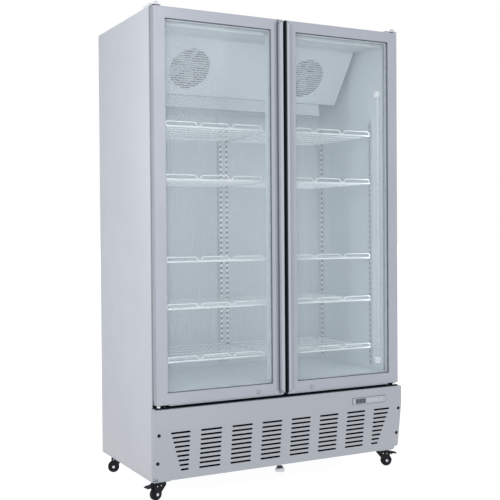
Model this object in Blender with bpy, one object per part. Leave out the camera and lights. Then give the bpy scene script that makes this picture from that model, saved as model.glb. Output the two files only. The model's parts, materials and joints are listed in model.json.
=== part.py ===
"""Two-door glass merchandiser: an upright refrigerated display cabinet on four castors.

Metres, +Z up. The doors face -Y, +X is to the right of someone facing them, and the
origin is on the floor under the middle of the cabinet.
"""

import math

import bmesh
import bpy
from mathutils import Matrix, Vector

GAP = 0.0003  # clearance between pieces that touch

# ---- driving sizes -------------------------------------------------------------------
HALF_WIDTH = 0.590  # cabinet side walls, outside
DOOR_FACE = -0.3165  # front plane of the door frames
SHELL_FRONT = DOOR_FACE + 0.0388
SHELL_BACK = 0.3315
SHELL_BOTTOM = 0.0823
SHELL_TOP = 1.962
WALL = 0.050  # insulated wall
BACK_WALL = 0.063
SKIN = 0.001  # sheet steel of the walls, whose foam core is left out
FLOOR_UNDER = 0.377  # insulated floor, over the machine compartment
FLOOR_TOP = 0.437
INNER_HALF = HALF_WIDTH - WALL
INNER_TOP = SHELL_TOP - WALL
INNER_BACK = SHELL_BACK - BACK_WALL

# doors
DOOR_OUTER = 0.5862
DOOR_INNER = 0.0085
DOOR_BOTTOM = 0.389
DOOR_TOP = 1.959
DOOR_DEPTH = 0.030
GLASS_OUTER = 0.5376
GLASS_INNER = 0.0592
GLASS_BOTTOM = 0.4357
GLASS_TOP = 1.9145
GLASS_REBATE = 0.010
GLASS_FRONT = 0.008  # from the door's face to the glass
GLASS_DEPTH = 0.016
HINGE_X = DOOR_OUTER - 0.016
HINGE_Y = DOOR_FACE + 0.014
PIN_RADIUS = 0.004

# pull profile on the stile nearest the other door
PULL_WIDTH = 0.0361
PULL_DEPTH = 0.0162
LIP_WIDTH = 0.0136
LIP_PROUD = 0.011
SCOOP_DEPTH = 0.008

# shelves
SHELF_PITCH = 0.024  # spacing of the slots that the shelf clips hang in
SHELF_STEPS = (0, 9, 17, 31, 40)
SHELF_LOWEST = 0.5444
SHELF_INNER = 0.020
SHELF_OUTER = 0.505
SHELF_FRONT = DOOR_FACE + 0.0895
SHELF_BACK = DOOR_FACE + 0.560
WIRE = 0.005
GUARD_HEIGHT = 0.0185
LONG_WIRES = 11

# evaporator housing under the ceiling, its face leaning back towards the bottom
COVER_HALF = 0.505
COVER_TOP = Vector((0.0, DOOR_FACE + 0.226, 1.8995))
COVER_FOOT = Vector((0.0, DOOR_FACE + 0.3835, 1.682))
FAN_X = 0.2915
GRILLE_RADIUS = 0.0965

# machine compartment and what it stands on
TRAY_BOTTOM = 0.079
KICK_HALF = 0.594
KICK_FACE = DOOR_FACE - 0.0125
KICK_TOP = 0.374
KICK_BEND = 0.2964
KICK_BOTTOM = 0.0854
KICK_SET_BACK = 0.0289  # how far the slanted part runs back
CASTER_X = 0.548
CASTER_FRONT = DOOR_FACE + 0.070
CASTER_BACK = SHELL_BACK - 0.085
WHEEL_RADIUS = 0.025
CASTER_TRAIL = 0.018
BRAKE_PIVOT = (0.029, 0.0, 0.062)  # along the trail, across, up

# ---- finishes ------------------------------------------------------------------------
FINISHES = {
    "cabinet_paint": ((0.62, 0.63, 0.66), 0.35, 0.0),
    "liner_paint": ((0.74, 0.77, 0.78), 0.40, 0.0),
    "frame_paint": ((0.50, 0.51, 0.57), 0.32, 0.0),
    "panel_paint": ((0.47, 0.49, 0.54), 0.35, 0.0),
    "glass": ((0.75, 0.86, 0.85), 0.05, 0.0),
    "gasket_rubber": ((0.10, 0.10, 0.11), 0.70, 0.0),
    "shelf_wire": ((0.80, 0.82, 0.83), 0.35, 0.0),
    "steel": ((0.62, 0.62, 0.63), 0.30, 1.0),
    "zinc": ((0.55, 0.56, 0.57), 0.35, 1.0),
    "aluminium": ((0.70, 0.71, 0.72), 0.30, 1.0),
    "copper_black": ((0.03, 0.03, 0.03), 0.45, 0.0),
    "black_plastic": ((0.02, 0.02, 0.02), 0.45, 0.0),
    "grey_plastic": ((0.55, 0.56, 0.58), 0.45, 0.0),
    "castor_black": ((0.015, 0.015, 0.015), 0.40, 0.0),
    "tread_rubber": ((0.02, 0.02, 0.02), 0.75, 0.0),
    "lamp_lens": ((0.88, 0.90, 0.92), 0.25, 0.0),
}


def clear_scene():
    for obj in list(bpy.data.objects):
        bpy.data.objects.remove(obj)


def finish(slot):
    """The material of this finish for one piece. Each piece keeps its own copy."""
    colour, roughness, metallic = FINISHES[slot]
    material = bpy.data.materials.new(slot)
    material.use_nodes = True
    shader = material.node_tree.nodes["Principled BSDF"]
    shader.inputs["Base Color"].default_value = (*colour, 1.0)
    shader.inputs["Roughness"].default_value = roughness
    shader.inputs["Metallic"].default_value = metallic
    if slot == "glass":
        shader.inputs["Transmission Weight"].default_value = 0.9
    material.diffuse_color = (*colour, 1.0)
    return material


# ---- shapes --------------------------------------------------------------------------
def add_loft(bm, rings):
    """A closed skin through rings with equal numbers of points."""
    grid = [[bm.verts.new(point) for point in ring] for ring in rings]
    for near, far in zip(grid, grid[1:]):
        for i in range(len(near)):
            j = (i + 1) % len(near)
            bm.faces.new((near[i], near[j], far[j], far[i]))
    bm.faces.new(grid[0])
    bm.faces.new(grid[-1])


def add_box(bm, low, high):
    (x0, y0, z0), (x1, y1, z1) = low, high
    rings = [[(x0, y0, z), (x1, y0, z), (x1, y1, z), (x0, y1, z)] for z in (z0, z1)]
    add_loft(bm, rings)


def add_prism(bm, outline, axis, start, end):
    """The outline, in the plane of the two other axes, swept from start to end."""
    rings = []
    for at in (start, end):
        ring = []
        for a, b in outline:
            point = [a, b]
            point.insert("XYZ".index(axis), at)
            ring.append(point)
        rings.append(ring)
    add_loft(bm, rings)


def frame_along(direction):
    """Two unit vectors square to the direction and to each other."""
    direction = Vector(direction).normalized()
    side = Vector((0, 0, 1)) if abs(direction.z) < 0.9 else Vector((1, 0, 0))
    first = direction.cross(side).normalized()
    return first, direction.cross(first).normalized()


def add_turned(bm, start, direction, profile, sides=24):
    """A turned shape: profile holds (distance along the direction, radius)."""
    start = Vector(start)
    direction = Vector(direction).normalized()
    first, second = frame_along(direction)
    rings = []
    for along, radius in profile:
        centre = start + direction * along
        ring = []
        for i in range(sides):
            angle = 2 * math.pi * i / sides
            ring.append(centre + radius * (math.cos(angle) * first + math.sin(angle) * second))
        rings.append(ring)
    add_loft(bm, rings)


def add_rod(bm, start, end, radius, sides=16):
    start, end = Vector(start), Vector(end)
    add_turned(bm, start, end - start, [(0, radius), ((end - start).length, radius)], sides)


def ribbon(path, half):
    """The outline of a strip of this half thickness that follows the path."""
    sides = ([], [])
    for i, point in enumerate(path):
        here = Vector(point)
        before = (here - Vector(path[i - 1])).normalized() if i else None
        after = (Vector(path[i + 1]) - here).normalized() if i + 1 < len(path) else None
        before = before or after
        after = after or before
        across = (before + after).normalized().orthogonal()
        width = half / max(0.3, across.dot(before.orthogonal()))
        sides[0].append(here + across * width)
        sides[1].append(here - across * width)
    return [tuple(p) for p in sides[0] + sides[1][::-1]]


# ---- objects -------------------------------------------------------------------------
def make(name, bm, slot=None, origin=(0, 0, 0)):
    """An object from this mesh, its origin at a point. Without a finish it is a cutter."""
    bmesh.ops.recalc_face_normals(bm, faces=bm.faces)
    bmesh.ops.translate(bm, verts=bm.verts, vec=-Vector(origin))
    mesh = bpy.data.meshes.new(name)
    bm.to_mesh(mesh)
    bm.free()
    obj = bpy.data.objects.new(name, mesh)
    obj.location = origin
    bpy.context.scene.collection.objects.link(obj)
    if slot:
        mesh.materials.append(finish(slot))
    else:
        obj.hide_render = True
        obj.display_type = "WIRE"
    return obj


def combine(obj, operation, bm):
    """Cuts the shape from the object, or adds it, with an exact Boolean."""
    tool = make(f"{obj.name}.{operation.lower()}{len(obj.modifiers)}", bm)
    modifier = obj.modifiers.new(operation.lower(), "BOOLEAN")
    modifier.operation = operation
    modifier.solver = "EXACT"
    modifier.object = tool


def soften(obj, width, segments=2):
    modifier = obj.modifiers.new("soften", "BEVEL")
    modifier.width = width
    modifier.segments = segments
    modifier.limit_method = "ANGLE"


def block(name, slot, low, high, bevel=0.0, origin=(0, 0, 0)):
    bm = bmesh.new()
    add_box(bm, low, high)
    obj = make(name, bm, slot, origin)
    if bevel:
        soften(obj, bevel)
    return obj


def mirrored(side, x0, x1):
    """The X range of a piece on the left (-1) or right (1), low end first."""
    return sorted((side * x0, side * x1))


# ---- cabinet -------------------------------------------------------------------------
def build_wall(name, slot, low, high, bevel, mouth):
    """Two skins and their edges. The mouth, an axis and a sign, is hidden by the next piece."""
    wall = block(name, slot, low, high, bevel)
    core_low = [v + SKIN for v in low]
    core_high = [v - SKIN for v in high]
    axis, sign = mouth
    if sign < 0:
        core_low[axis] = low[axis] - 0.01
    else:
        core_high[axis] = high[axis] + 0.01
    core = bmesh.new()
    add_box(core, core_low, core_high)
    combine(wall, "DIFFERENCE", core)


def build_shell():
    x, z = 0, 2
    for side, name in ((-1, "left_wall"), (1, "right_wall")):
        x0, x1 = mirrored(side, INNER_HALF, HALF_WIDTH)
        low, high = (x0, SHELL_FRONT, SHELL_BOTTOM), (x1, SHELL_BACK, SHELL_TOP)
        build_wall(name, "cabinet_paint", low, high, 0.002, (z, -1))
    inner = INNER_HALF - GAP
    low, high = (-inner, SHELL_FRONT, INNER_TOP), (inner, SHELL_BACK, SHELL_TOP)
    build_wall("roof", "cabinet_paint", low, high, 0.0015, (x, 1))
    low, high = (-inner, SHELL_FRONT, FLOOR_UNDER), (inner, SHELL_BACK, FLOOR_TOP)
    build_wall("cabinet_floor", "liner_paint", low, high, 0.0015, (x, 1))
    low = (-inner, INNER_BACK, FLOOR_TOP + GAP)
    high = (inner, SHELL_BACK, INNER_TOP - GAP)
    build_wall("rear_wall", "liner_paint", low, high, 0.0, (z, -1))
    low = (-0.046, SHELL_FRONT, FLOOR_TOP + GAP)
    high = (0.046, SHELL_FRONT + 0.041, INNER_TOP - GAP)
    build_wall("centre_mullion", "liner_paint", low, high, 0.002, (z, -1))


def build_pilaster(name, x, y, facing, columns):
    """A steel strip with one or two columns of slots that shelf clips hang in."""
    half = 0.010 if columns == 1 else 0.026
    depth = 0.008
    bottom, top = 0.458, 1.575
    along_x = facing in ("front", "rear")
    if along_x:
        shift = -depth if facing == "front" else 0
        low, high = (x - half, y + shift, bottom), (x + half, y + shift + depth, top)
    else:
        shift = -depth if facing == "left" else 0
        low, high = (x + shift, y - half, bottom), (x + shift + depth, y + half, top)
    block(name, "zinc", low, high)


def build_pilasters():
    rear = INNER_BACK - GAP
    wall = INNER_HALF - GAP
    build_pilaster("pilaster_rear_centre", 0.0, rear, "front", 2)
    build_pilaster("pilaster_front_centre", 0.0, SHELL_FRONT + 0.041 + GAP, "rear", 2)
    for side, name, facing in ((-1, "left", "right"), (1, "right", "left")):
        build_pilaster(f"pilaster_front_{name}", side * wall, DOOR_FACE + 0.136, facing, 1)
        build_pilaster(f"pilaster_rear_{name}", side * wall, DOOR_FACE + 0.548, facing, 1)


def build_lamps():
    for side, name in ((-1, "led_lamp_left"), (1, "led_lamp_right")):
        x0, x1 = mirrored(side, INNER_HALF - 0.020, INNER_HALF - GAP)
        y = DOOR_FACE + 0.075
        block(name, "lamp_lens", (x0, y - 0.011, 0.471), (x1, y + 0.011, 1.706), 0.004)


# ---- shelves -------------------------------------------------------------------------
def guard_path(x0, x1, base):
    """The front guard wire: it stands over the front wire and dips to it twice."""
    top = base + GUARD_HEIGHT
    low = base + 0.001
    path = [(x0, low), (x0 + 0.002, top)]
    for part in (1, 2):
        middle = x0 + (x1 - x0) * part / 3
        path += [(middle - 0.018, top), (middle - 0.003, low)]
        path += [(middle + 0.003, low), (middle + 0.018, top)]
    return path + [(x1 - 0.002, top), (x1, low)]


def build_shelf(name, side, height):
    x0, x1 = mirrored(side, SHELF_INNER, SHELF_OUTER)
    half = WIRE / 2
    bars = bmesh.new()
    step = (SHELF_BACK - SHELF_FRONT - WIRE) / (LONG_WIRES - 1)
    for i in range(LONG_WIRES):
        y = SHELF_FRONT + half + i * step
        low = (x0 + 0.001, y - half * 0.8, height - half * 0.6)
        add_box(bars, low, (x1 - 0.001, y + half * 0.8, height + half))
    shelf = make(name, bars, "shelf_wire")

    ties = bmesh.new()
    for part in range(3):
        x = x0 + half + (x1 - x0 - WIRE) * part / 2
        low = (x - half, SHELF_FRONT - 0.0005, height - half * 1.8)
        add_box(ties, low, (x + half, SHELF_BACK + 0.0005, height + half * 0.3))
    combine(shelf, "UNION", ties)

    guard = bmesh.new()
    a, b = mirrored(side, 0.058, 0.499)
    y = SHELF_FRONT + half
    add_prism(guard, ribbon(guard_path(a, b, height), 0.0016), "Y", y - 0.0016, y + 0.0016)
    combine(shelf, "UNION", guard)


def build_shelves():
    for side, name in ((-1, "left"), (1, "right")):
        for i, steps in enumerate(SHELF_STEPS):
            height = SHELF_LOWEST + steps * SHELF_PITCH
            build_shelf(f"shelf_{name}_{i + 1}", side, height)


# ---- evaporator ----------------------------------------------------------------------
COVER_DOWN = (COVER_FOOT - COVER_TOP).normalized()
COVER_IN = Vector((0, -COVER_DOWN.z, COVER_DOWN.y))  # square to the face, into the housing
FACE_MIDDLE = COVER_TOP.lerp(COVER_FOOT, 0.5)


def on_cover(x, down, inward):
    """A point given by distances along the leaning face and into the housing."""
    return Vector((x, 0, 0)) + FACE_MIDDLE + COVER_DOWN * down + COVER_IN * inward


def add_leaning_box(bm, x0, x1, v0, v1, w0, w1):
    rings = []
    for w in (w0, w1):
        corners = ((x0, v0), (x1, v0), (x1, v1), (x0, v1))
        rings.append([on_cover(x, v, w) for x, v in corners])
    add_loft(bm, rings)


def build_cover():
    thick = 0.0012
    y_top, z_top = COVER_TOP.y, COVER_TOP.z
    y_foot, z_foot = COVER_FOOT.y, COVER_FOOT.z
    ceiling = INNER_TOP - GAP
    face = [(y_top, ceiling), (y_top, z_top), (y_foot, z_foot), (y_foot + 0.015, z_foot)]
    bm = bmesh.new()
    add_prism(bm, ribbon(face, thick / 2), "X", -COVER_HALF, COVER_HALF)
    cover = make("evaporator_cover", bm, "liner_paint")

    cheeks = bmesh.new()
    back = INNER_BACK - GAP
    cheek = [(y_top, ceiling - 0.0004), (y_top, z_top), (y_foot, z_foot)]
    cheek += [(back, z_foot), (back, ceiling - 0.0004)]
    for side in (-1, 1):
        x0, x1 = mirrored(side, COVER_HALF - 0.0016, COVER_HALF - 0.0003)
        add_prism(cheeks, cheek, "X", x0, x1)
    combine(cover, "UNION", cheeks)

    slots = bmesh.new()
    rows, rib, edge = 14, 0.006, 0.003
    pitch = 2 * GRILLE_RADIUS / rows
    for side in (-1, 1):
        for row in range(rows):
            down = (row - (rows - 1) / 2) * pitch
            reach = math.sqrt(GRILLE_RADIUS**2 - down**2) - edge
            for hand in (-1, 1):
                a, b = mirrored(hand, rib / 2, reach)
                x = side * FAN_X
                add_leaning_box(slots, x + a, x + b, down - 0.0038, down + 0.0038, -0.01, 0.01)
    combine(cover, "DIFFERENCE", slots)


def build_fan(name, slot, centre, axis, radius, blades=5):
    """A hub with slanting blades, its origin on the axis that it turns about."""
    centre, axis = Vector(centre), Vector(axis).normalized()
    hub = radius * 0.26
    bm = bmesh.new()
    profile = [(-0.009, hub * 0.8), (-0.006, hub), (0.009, hub)]
    add_turned(bm, centre, axis, profile, 20)
    fan = make(name, bm, slot, centre)
    vanes = bmesh.new()
    first, second = frame_along(axis)
    for i in range(blades):
        angle = 2 * math.pi * i / blades
        out = math.cos(angle) * first + math.sin(angle) * second
        side = axis.cross(out)
        rings = []
        for reach, chord, pitch in ((hub * 0.7, 0.30, 38), (radius * 0.7, 0.50, 28), (radius, 0.42, 22)):
            lean = math.radians(pitch)
            along = (side * math.cos(lean) + axis * math.sin(lean)) * chord * radius / 2
            thick = (axis * math.cos(lean) - side * math.sin(lean)) * 0.0008
            middle = centre + out * reach
            rings.append([middle - along - thick, middle + along - thick])
            rings[-1] += [middle + along + thick, middle - along + thick]
        add_loft(vanes, rings)
    combine(fan, "UNION", vanes)


def build_evaporator():
    low = (-0.42, DOOR_FACE + 0.445, 1.700)
    high = (0.42, INNER_BACK - 0.012, 1.895)
    bm = bmesh.new()
    add_box(bm, low, high)
    coil = make("evaporator_coil", bm, "aluminium")
    motors = bmesh.new()
    for side in (-1, 1):
        start = on_cover(side * FAN_X, 0, 0.046)
        add_rod(motors, start, start + COVER_IN * 0.125, 0.022, 20)
    combine(coil, "UNION", motors)
    gaps = bmesh.new()
    count, pitch = 19, 0.042
    for i in range(count):
        x = (i - (count - 1) / 2) * pitch
        add_box(gaps, (x - 0.015, low[1] + 0.020, 1.69), (x + 0.015, high[1] + 0.01, 1.92))
    combine(coil, "DIFFERENCE", gaps)
    for side, name in ((-1, "left"), (1, "right")):
        centre = on_cover(side * FAN_X, 0, 0.030)
        build_fan(f"evaporator_fan_{name}", "black_plastic", centre, COVER_IN, 0.086)


def build_drip_tray():
    half, wall = 0.426, 0.0015
    front, back = COVER_FOOT.y + 0.0165, INNER_BACK - GAP
    bottom, top = 1.627, COVER_FOOT.z - 0.001
    tray = block("drip_tray", "liner_paint", (-half, front, bottom), (half, back, top))
    pocket = bmesh.new()
    low = (-half + wall, front + wall, bottom + wall)
    add_box(pocket, low, (half - wall, back - wall, top + 0.01))
    combine(tray, "DIFFERENCE", pocket)


# ---- doors ---------------------------------------------------------------------------
def build_door_frame(side, name):
    x0, x1 = mirrored(side, DOOR_INNER, DOOR_OUTER)
    y0, y1 = DOOR_FACE, DOOR_FACE + DOOR_DEPTH
    pivot = (side * HINGE_X, HINGE_Y, DOOR_BOTTOM)
    bm = bmesh.new()
    add_box(bm, (x0, y0, DOOR_BOTTOM), (x1, y1, DOOR_TOP))
    frame = make(f"door_{name}_frame", bm, "frame_paint", pivot)
    soften(frame, 0.0015, 1)

    opening = bmesh.new()
    a, b = mirrored(side, GLASS_INNER, GLASS_OUTER)
    add_box(opening, (a, y0 - 0.01, GLASS_BOTTOM), (b, y1 + 0.01, GLASS_TOP))
    combine(frame, "DIFFERENCE", opening)

    groove = bmesh.new()
    r = GLASS_REBATE
    low = (a - r, y0 + GLASS_FRONT - GAP, GLASS_BOTTOM - r)
    high = (b + r, y0 + GLASS_FRONT + GLASS_DEPTH + GAP, GLASS_TOP + r)
    add_box(groove, low, high)
    combine(frame, "DIFFERENCE", groove)

    rebate = bmesh.new()
    a, b = mirrored(side, DOOR_INNER - 0.01, DOOR_INNER + PULL_WIDTH + GAP)
    low = (a, y0 - 0.01, DOOR_BOTTOM - 0.01)
    add_box(rebate, low, (b, y0 + PULL_DEPTH + GAP, DOOR_TOP + 0.01))
    combine(frame, "DIFFERENCE", rebate)

    holes = bmesh.new()
    x, y = side * HINGE_X, HINGE_Y
    radius = PIN_RADIUS + 0.0005
    add_rod(holes, (x, y, DOOR_BOTTOM - 0.01), (x, y, DOOR_BOTTOM + 0.0125), radius)
    add_rod(holes, (x, y, DOOR_TOP - 0.0125), (x, y, DOOR_TOP + 0.01), radius)
    lock = lock_centre(side)
    add_rod(holes, lock - Vector((0, 0.02, 0)), lock + Vector((0, 0.0225, 0)), 0.0083, 20)
    combine(frame, "DIFFERENCE", holes)


def build_glass(side, name):
    r = GLASS_REBATE - 0.0005
    x0, x1 = mirrored(side, GLASS_INNER - r, GLASS_OUTER + r)
    y0 = DOOR_FACE + GLASS_FRONT
    pivot = (side * HINGE_X, HINGE_Y, DOOR_BOTTOM)
    low = (x0, y0, GLASS_BOTTOM - r)
    high = (x1, y0 + GLASS_DEPTH, GLASS_TOP + r)
    block(f"door_{name}_glass", "glass", low, high, origin=pivot)


def build_gasket(side, name):
    """The magnetic seal on the back of the door, all of it inboard of the hinge pins."""
    inset, width = 0.018, 0.020
    y0, y1 = DOOR_FACE + DOOR_DEPTH + GAP, SHELL_FRONT - GAP
    pivot = (side * HINGE_X, HINGE_Y, DOOR_BOTTOM)
    outer, inner = DOOR_OUTER - inset, DOOR_INNER + 0.004
    x0, x1 = mirrored(side, inner, outer)
    bm = bmesh.new()
    add_box(bm, (x0, y0, DOOR_BOTTOM + inset), (x1, y1, DOOR_TOP - inset))
    gasket = make(f"door_{name}_gasket", bm, "gasket_rubber", pivot)
    inside = bmesh.new()
    x0, x1 = mirrored(side, inner + width, outer - width)
    low = (x0, y0 - 0.01, DOOR_BOTTOM + inset + width)
    add_box(inside, low, (x1, y1 + 0.01, DOOR_TOP - inset - width))
    combine(gasket, "DIFFERENCE", inside)


def pull_section(side, z, wall, depth):
    """The scoop at one height: a straight wall by the lip, then a curve up to the face."""
    start, end = wall, PULL_WIDTH + 0.001
    points = [(start, -0.03), (start, depth)]
    for i in range(1, 8):
        part = i / 7
        points.append((start + (end - start) * part, depth * (1 - part**1.6)))
    points.append((end, -0.03))
    return [(side * (DOOR_INNER + s), DOOR_FACE + d, z) for s, d in points]


def build_pull(side, name):
    """The full-height grip: a lip by the gap between the doors, and a scoop behind it."""
    pivot = (side * HINGE_X, HINGE_Y, DOOR_BOTTOM)
    x0, x1 = mirrored(side, DOOR_INNER, DOOR_INNER + PULL_WIDTH)
    bm = bmesh.new()
    low = (x0, DOOR_FACE - LIP_PROUD, DOOR_BOTTOM)
    add_box(bm, low, (x1, DOOR_FACE + PULL_DEPTH, DOOR_TOP))
    pull = make(f"door_{name}_pull", bm, "frame_paint", pivot)
    scoop = bmesh.new()
    mitre = LIP_WIDTH + 0.002
    stations = [(DOOR_BOTTOM - 0.01, -0.002, 0.0), (DOOR_BOTTOM + 0.003, -0.002, 0.0)]
    stations += [(DOOR_BOTTOM + 0.003 + mitre, LIP_WIDTH, SCOOP_DEPTH)]
    stations += [(DOOR_TOP - 0.003 - mitre, LIP_WIDTH, SCOOP_DEPTH)]
    stations += [(DOOR_TOP - 0.003, -0.002, 0.0), (DOOR_TOP + 0.01, -0.002, 0.0)]
    add_loft(scoop, [pull_section(side, *station) for station in stations])
    combine(pull, "DIFFERENCE", scoop)


def lock_centre(side):
    return Vector((side * 0.130, DOOR_FACE, 0.4065))


def build_lock(side, name):
    centre = lock_centre(side)
    bm = bmesh.new()
    profile = [(-0.003, 0.0060), (-0.0022, 0.0074), (-GAP, 0.0078), (0.022, 0.0078)]
    add_turned(bm, centre, (0, 1, 0), profile, 24)
    lock = make(f"door_{name}_lock", bm, "steel", centre)
    keyway = bmesh.new()
    low = centre + Vector((-0.0006, -0.005, -0.0036))
    add_box(keyway, low, centre + Vector((0.0006, 0.004, 0.0036)))
    combine(lock, "DIFFERENCE", keyway)


def build_top_hinge(side, name):
    x, y = side * HINGE_X, HINGE_Y
    x0, x1 = mirrored(side, 0.553, 0.587)
    base = SHELL_TOP + 0.0005
    bm = bmesh.new()
    add_box(bm, (x0, DOOR_FACE - 0.001, base), (x1, DOOR_FACE + 0.105, base + 0.0035))
    hinge = make(f"hinge_top_{name}", bm, "steel", (x, y, base))
    extras = bmesh.new()
    x0, x1 = mirrored(side, 0.555, 0.585)
    low = (x0, DOOR_FACE + 0.040, base + 0.001)
    add_box(extras, low, (x1, DOOR_FACE + 0.104, base + 0.0125))
    combine(hinge, "UNION", extras)
    pin = bmesh.new()
    add_rod(pin, (x, y, DOOR_TOP - 0.0115), (x, y, base + 0.002), PIN_RADIUS)
    combine(hinge, "UNION", pin)
    cap = bmesh.new()
    profile = [(0, 0.009), (0.0115, 0.009), (0.0145, 0.0065)]
    add_turned(cap, (x, y, base + 0.001), (0, 0, 1), profile)
    combine(hinge, "UNION", cap)


def build_bottom_hinge(side, name):
    x, y = side * HINGE_X, HINGE_Y
    x0, x1 = mirrored(side, 0.530, 0.586)
    base = KICK_TOP + 0.0015
    back = SHELL_FRONT - GAP
    leg = [(DOOR_FACE + 0.002, base), (back, base), (back, base + 0.012)]
    leg += [(back - 0.003, base + 0.012), (back - 0.003, base + 0.003), (DOOR_FACE + 0.002, base + 0.003)]
    bm = bmesh.new()
    add_prism(bm, leg, "X", x0, x1)
    hinge = make(f"hinge_bottom_{name}", bm, "steel", (x, y, base))
    pin = bmesh.new()
    profile = [(0.001, 0.007), (0.0115, 0.007), (0.0115, PIN_RADIUS), (0.0245, PIN_RADIUS)]
    add_turned(pin, (x, y, base), (0, 0, 1), profile, 16)
    combine(hinge, "UNION", pin)


def build_doors():
    for side, name in ((-1, "left"), (1, "right")):
        build_door_frame(side, name)
        build_glass(side, name)
        build_gasket(side, name)
        build_pull(side, name)
        build_lock(side, name)
        build_top_hinge(side, name)
        build_bottom_hinge(side, name)


# ---- machine compartment -------------------------------------------------------------
def kick_face_y(z):
    """The panel's front at a height: upright down to the bend, then slanting back."""
    down = max(0.0, (KICK_BEND - z) / (KICK_BEND - KICK_BOTTOM))
    return KICK_FACE + KICK_SET_BACK * down


def kick_outline(sheet, top, back, bottom):
    points = [(KICK_FACE + sheet, top), (KICK_FACE + sheet, KICK_BEND)]
    points += [(kick_face_y(bottom) + sheet, bottom), (back, bottom), (back, top)]
    return points


def add_slot_groups(bm):
    """Eight groups of nine slots. The outer groups get shorter towards the bottom."""
    groups, rows, pitch_x, pitch_z = 8, 9, 0.1406, 0.0193
    for group in range(groups):
        middle = (group - (groups - 1) / 2) * pitch_x
        for row in range(rows):
            z = 0.2780 - row * pitch_z
            x0, x1 = middle - 0.0463, middle + 0.0463
            taper = 0.010 + 0.0062 * row
            if group == 0:
                x0 += taper
            if group == groups - 1:
                x1 -= taper
            y = kick_face_y(z)
            add_box(bm, (x0, y - 0.01, z - 0.0031), (x1, y + 0.01, z + 0.0031))


def build_kick_panel():
    sheet = 0.0015
    back = SHELL_FRONT - GAP
    bm = bmesh.new()
    outline = kick_outline(0, KICK_TOP, back, KICK_BOTTOM)
    add_prism(bm, outline, "X", -KICK_HALF, KICK_HALF)
    panel = make("kick_panel", bm, "panel_paint")

    inside = bmesh.new()
    outline = kick_outline(sheet, KICK_TOP - sheet, back + 0.02, KICK_BOTTOM - 0.02)
    add_prism(inside, outline, "X", -KICK_HALF + sheet, KICK_HALF - sheet)
    combine(panel, "DIFFERENCE", inside)

    cuts = bmesh.new()
    add_slot_groups(cuts)
    x, z = controller_middle()
    low = (x - 0.078, KICK_FACE - 0.01, z - 0.0130)
    add_box(cuts, low, (x + 0.078, KICK_FACE + 0.01, z + 0.0130))
    combine(panel, "DIFFERENCE", cuts)

    corners = bmesh.new()
    radius, step = 0.007, 0.018
    for side in (-1, 1):
        x, z = KICK_HALF - radius, KICK_BOTTOM + 0.012 + radius
        outline = [(KICK_HALF + 0.01, z), (KICK_HALF, z)]
        for angle in (22.5, 45, 67.5, 90):
            a = math.radians(angle)
            outline.append((x + radius * math.cos(a), z - radius * math.sin(a)))
        outline += [(KICK_HALF - step, z - radius), (KICK_HALF - step, KICK_BOTTOM - 0.01)]
        outline += [(KICK_HALF + 0.01, KICK_BOTTOM - 0.01)]
        outline = [(side * px, pz) for px, pz in outline]
        add_prism(corners, outline, "Y", KICK_FACE - 0.01, SHELL_FRONT + 0.01)
    combine(panel, "DIFFERENCE", corners)


def controller_middle():
    return 0.4185, 0.3250


def build_controller():
    x, z = controller_middle()
    low = (x - 0.088, KICK_FACE - 0.0025, z - 0.0150)
    bm = bmesh.new()
    add_box(bm, low, (x + 0.088, KICK_FACE - GAP, z + 0.0150))
    controller = make("controller", bm, "grey_plastic")
    body = bmesh.new()
    low = (x - 0.077, KICK_FACE - 0.001, z - 0.0123)
    add_box(body, low, (x + 0.077, KICK_FACE + 0.032, z + 0.0123))
    combine(controller, "UNION", body)


def build_base_tray():
    """The sheet under the machine compartment, with castor pads and a motor stand."""
    half, sheet = HALF_WIDTH, 0.003
    front, back = SHELL_FRONT + 0.002, SHELL_BACK - 0.002
    top = TRAY_BOTTOM + sheet
    low = (-half, SHELL_FRONT - 0.002, TRAY_BOTTOM)
    tray = block("base_tray", "cabinet_paint", low, (half, back, top))

    pads = bmesh.new()
    for side in (-1, 1):
        for y in (CASTER_FRONT, CASTER_BACK):
            x = side * CASTER_X
            low = (x - 0.036, y - 0.030, TRAY_BOTTOM - 0.0035)
            add_box(pads, low, (x + 0.036, y + 0.030, TRAY_BOTTOM + 0.0005))
    combine(tray, "UNION", pads)

    flanges = bmesh.new()
    inner = INNER_HALF - 0.003
    for y in (front + 0.0002, back - 0.0022):
        add_box(flanges, (-inner, y, top - 0.001), (inner, y + 0.002, top + 0.028))
    combine(tray, "UNION", flanges)

    stand = bmesh.new()
    x, y, z = condenser_fan_centre()
    add_box(stand, (x - 0.015, y + 0.030, top - 0.001), (x + 0.015, y + 0.060, z))
    combine(tray, "UNION", stand)
    motor = bmesh.new()
    add_rod(motor, (x, y + 0.012, z), (x, y + 0.075, z), 0.028, 20)
    combine(tray, "UNION", motor)

    hole = bmesh.new()
    x, y = foot_middle()
    add_rod(hole, (x, y, TRAY_BOTTOM - 0.01), (x, y, top + 0.01), 0.0068, 16)
    combine(tray, "DIFFERENCE", hole)


def condenser_fan_centre():
    return -0.27, DOOR_FACE + 0.165, 0.215


def build_condenser():
    x = condenser_fan_centre()[0]
    y0 = DOOR_FACE + 0.070
    low, high = (x - 0.17, y0, TRAY_BOTTOM + 0.0034), (x + 0.17, y0 + 0.060, 0.345)
    bm = bmesh.new()
    add_box(bm, low, high)
    condenser = make("condenser", bm, "aluminium")
    fins = bmesh.new()
    count = 14
    for i in range(count):
        middle = x + (i - (count - 1) / 2) * 0.022
        low = (middle - 0.008, y0 - 0.01, TRAY_BOTTOM + 0.014)
        add_box(fins, low, (middle + 0.008, y0 + 0.050, 0.335))
    combine(condenser, "DIFFERENCE", fins)
    centre = condenser_fan_centre()
    build_fan("condenser_fan", "grey_plastic", centre, (0, 1, 0), 0.098)


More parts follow.
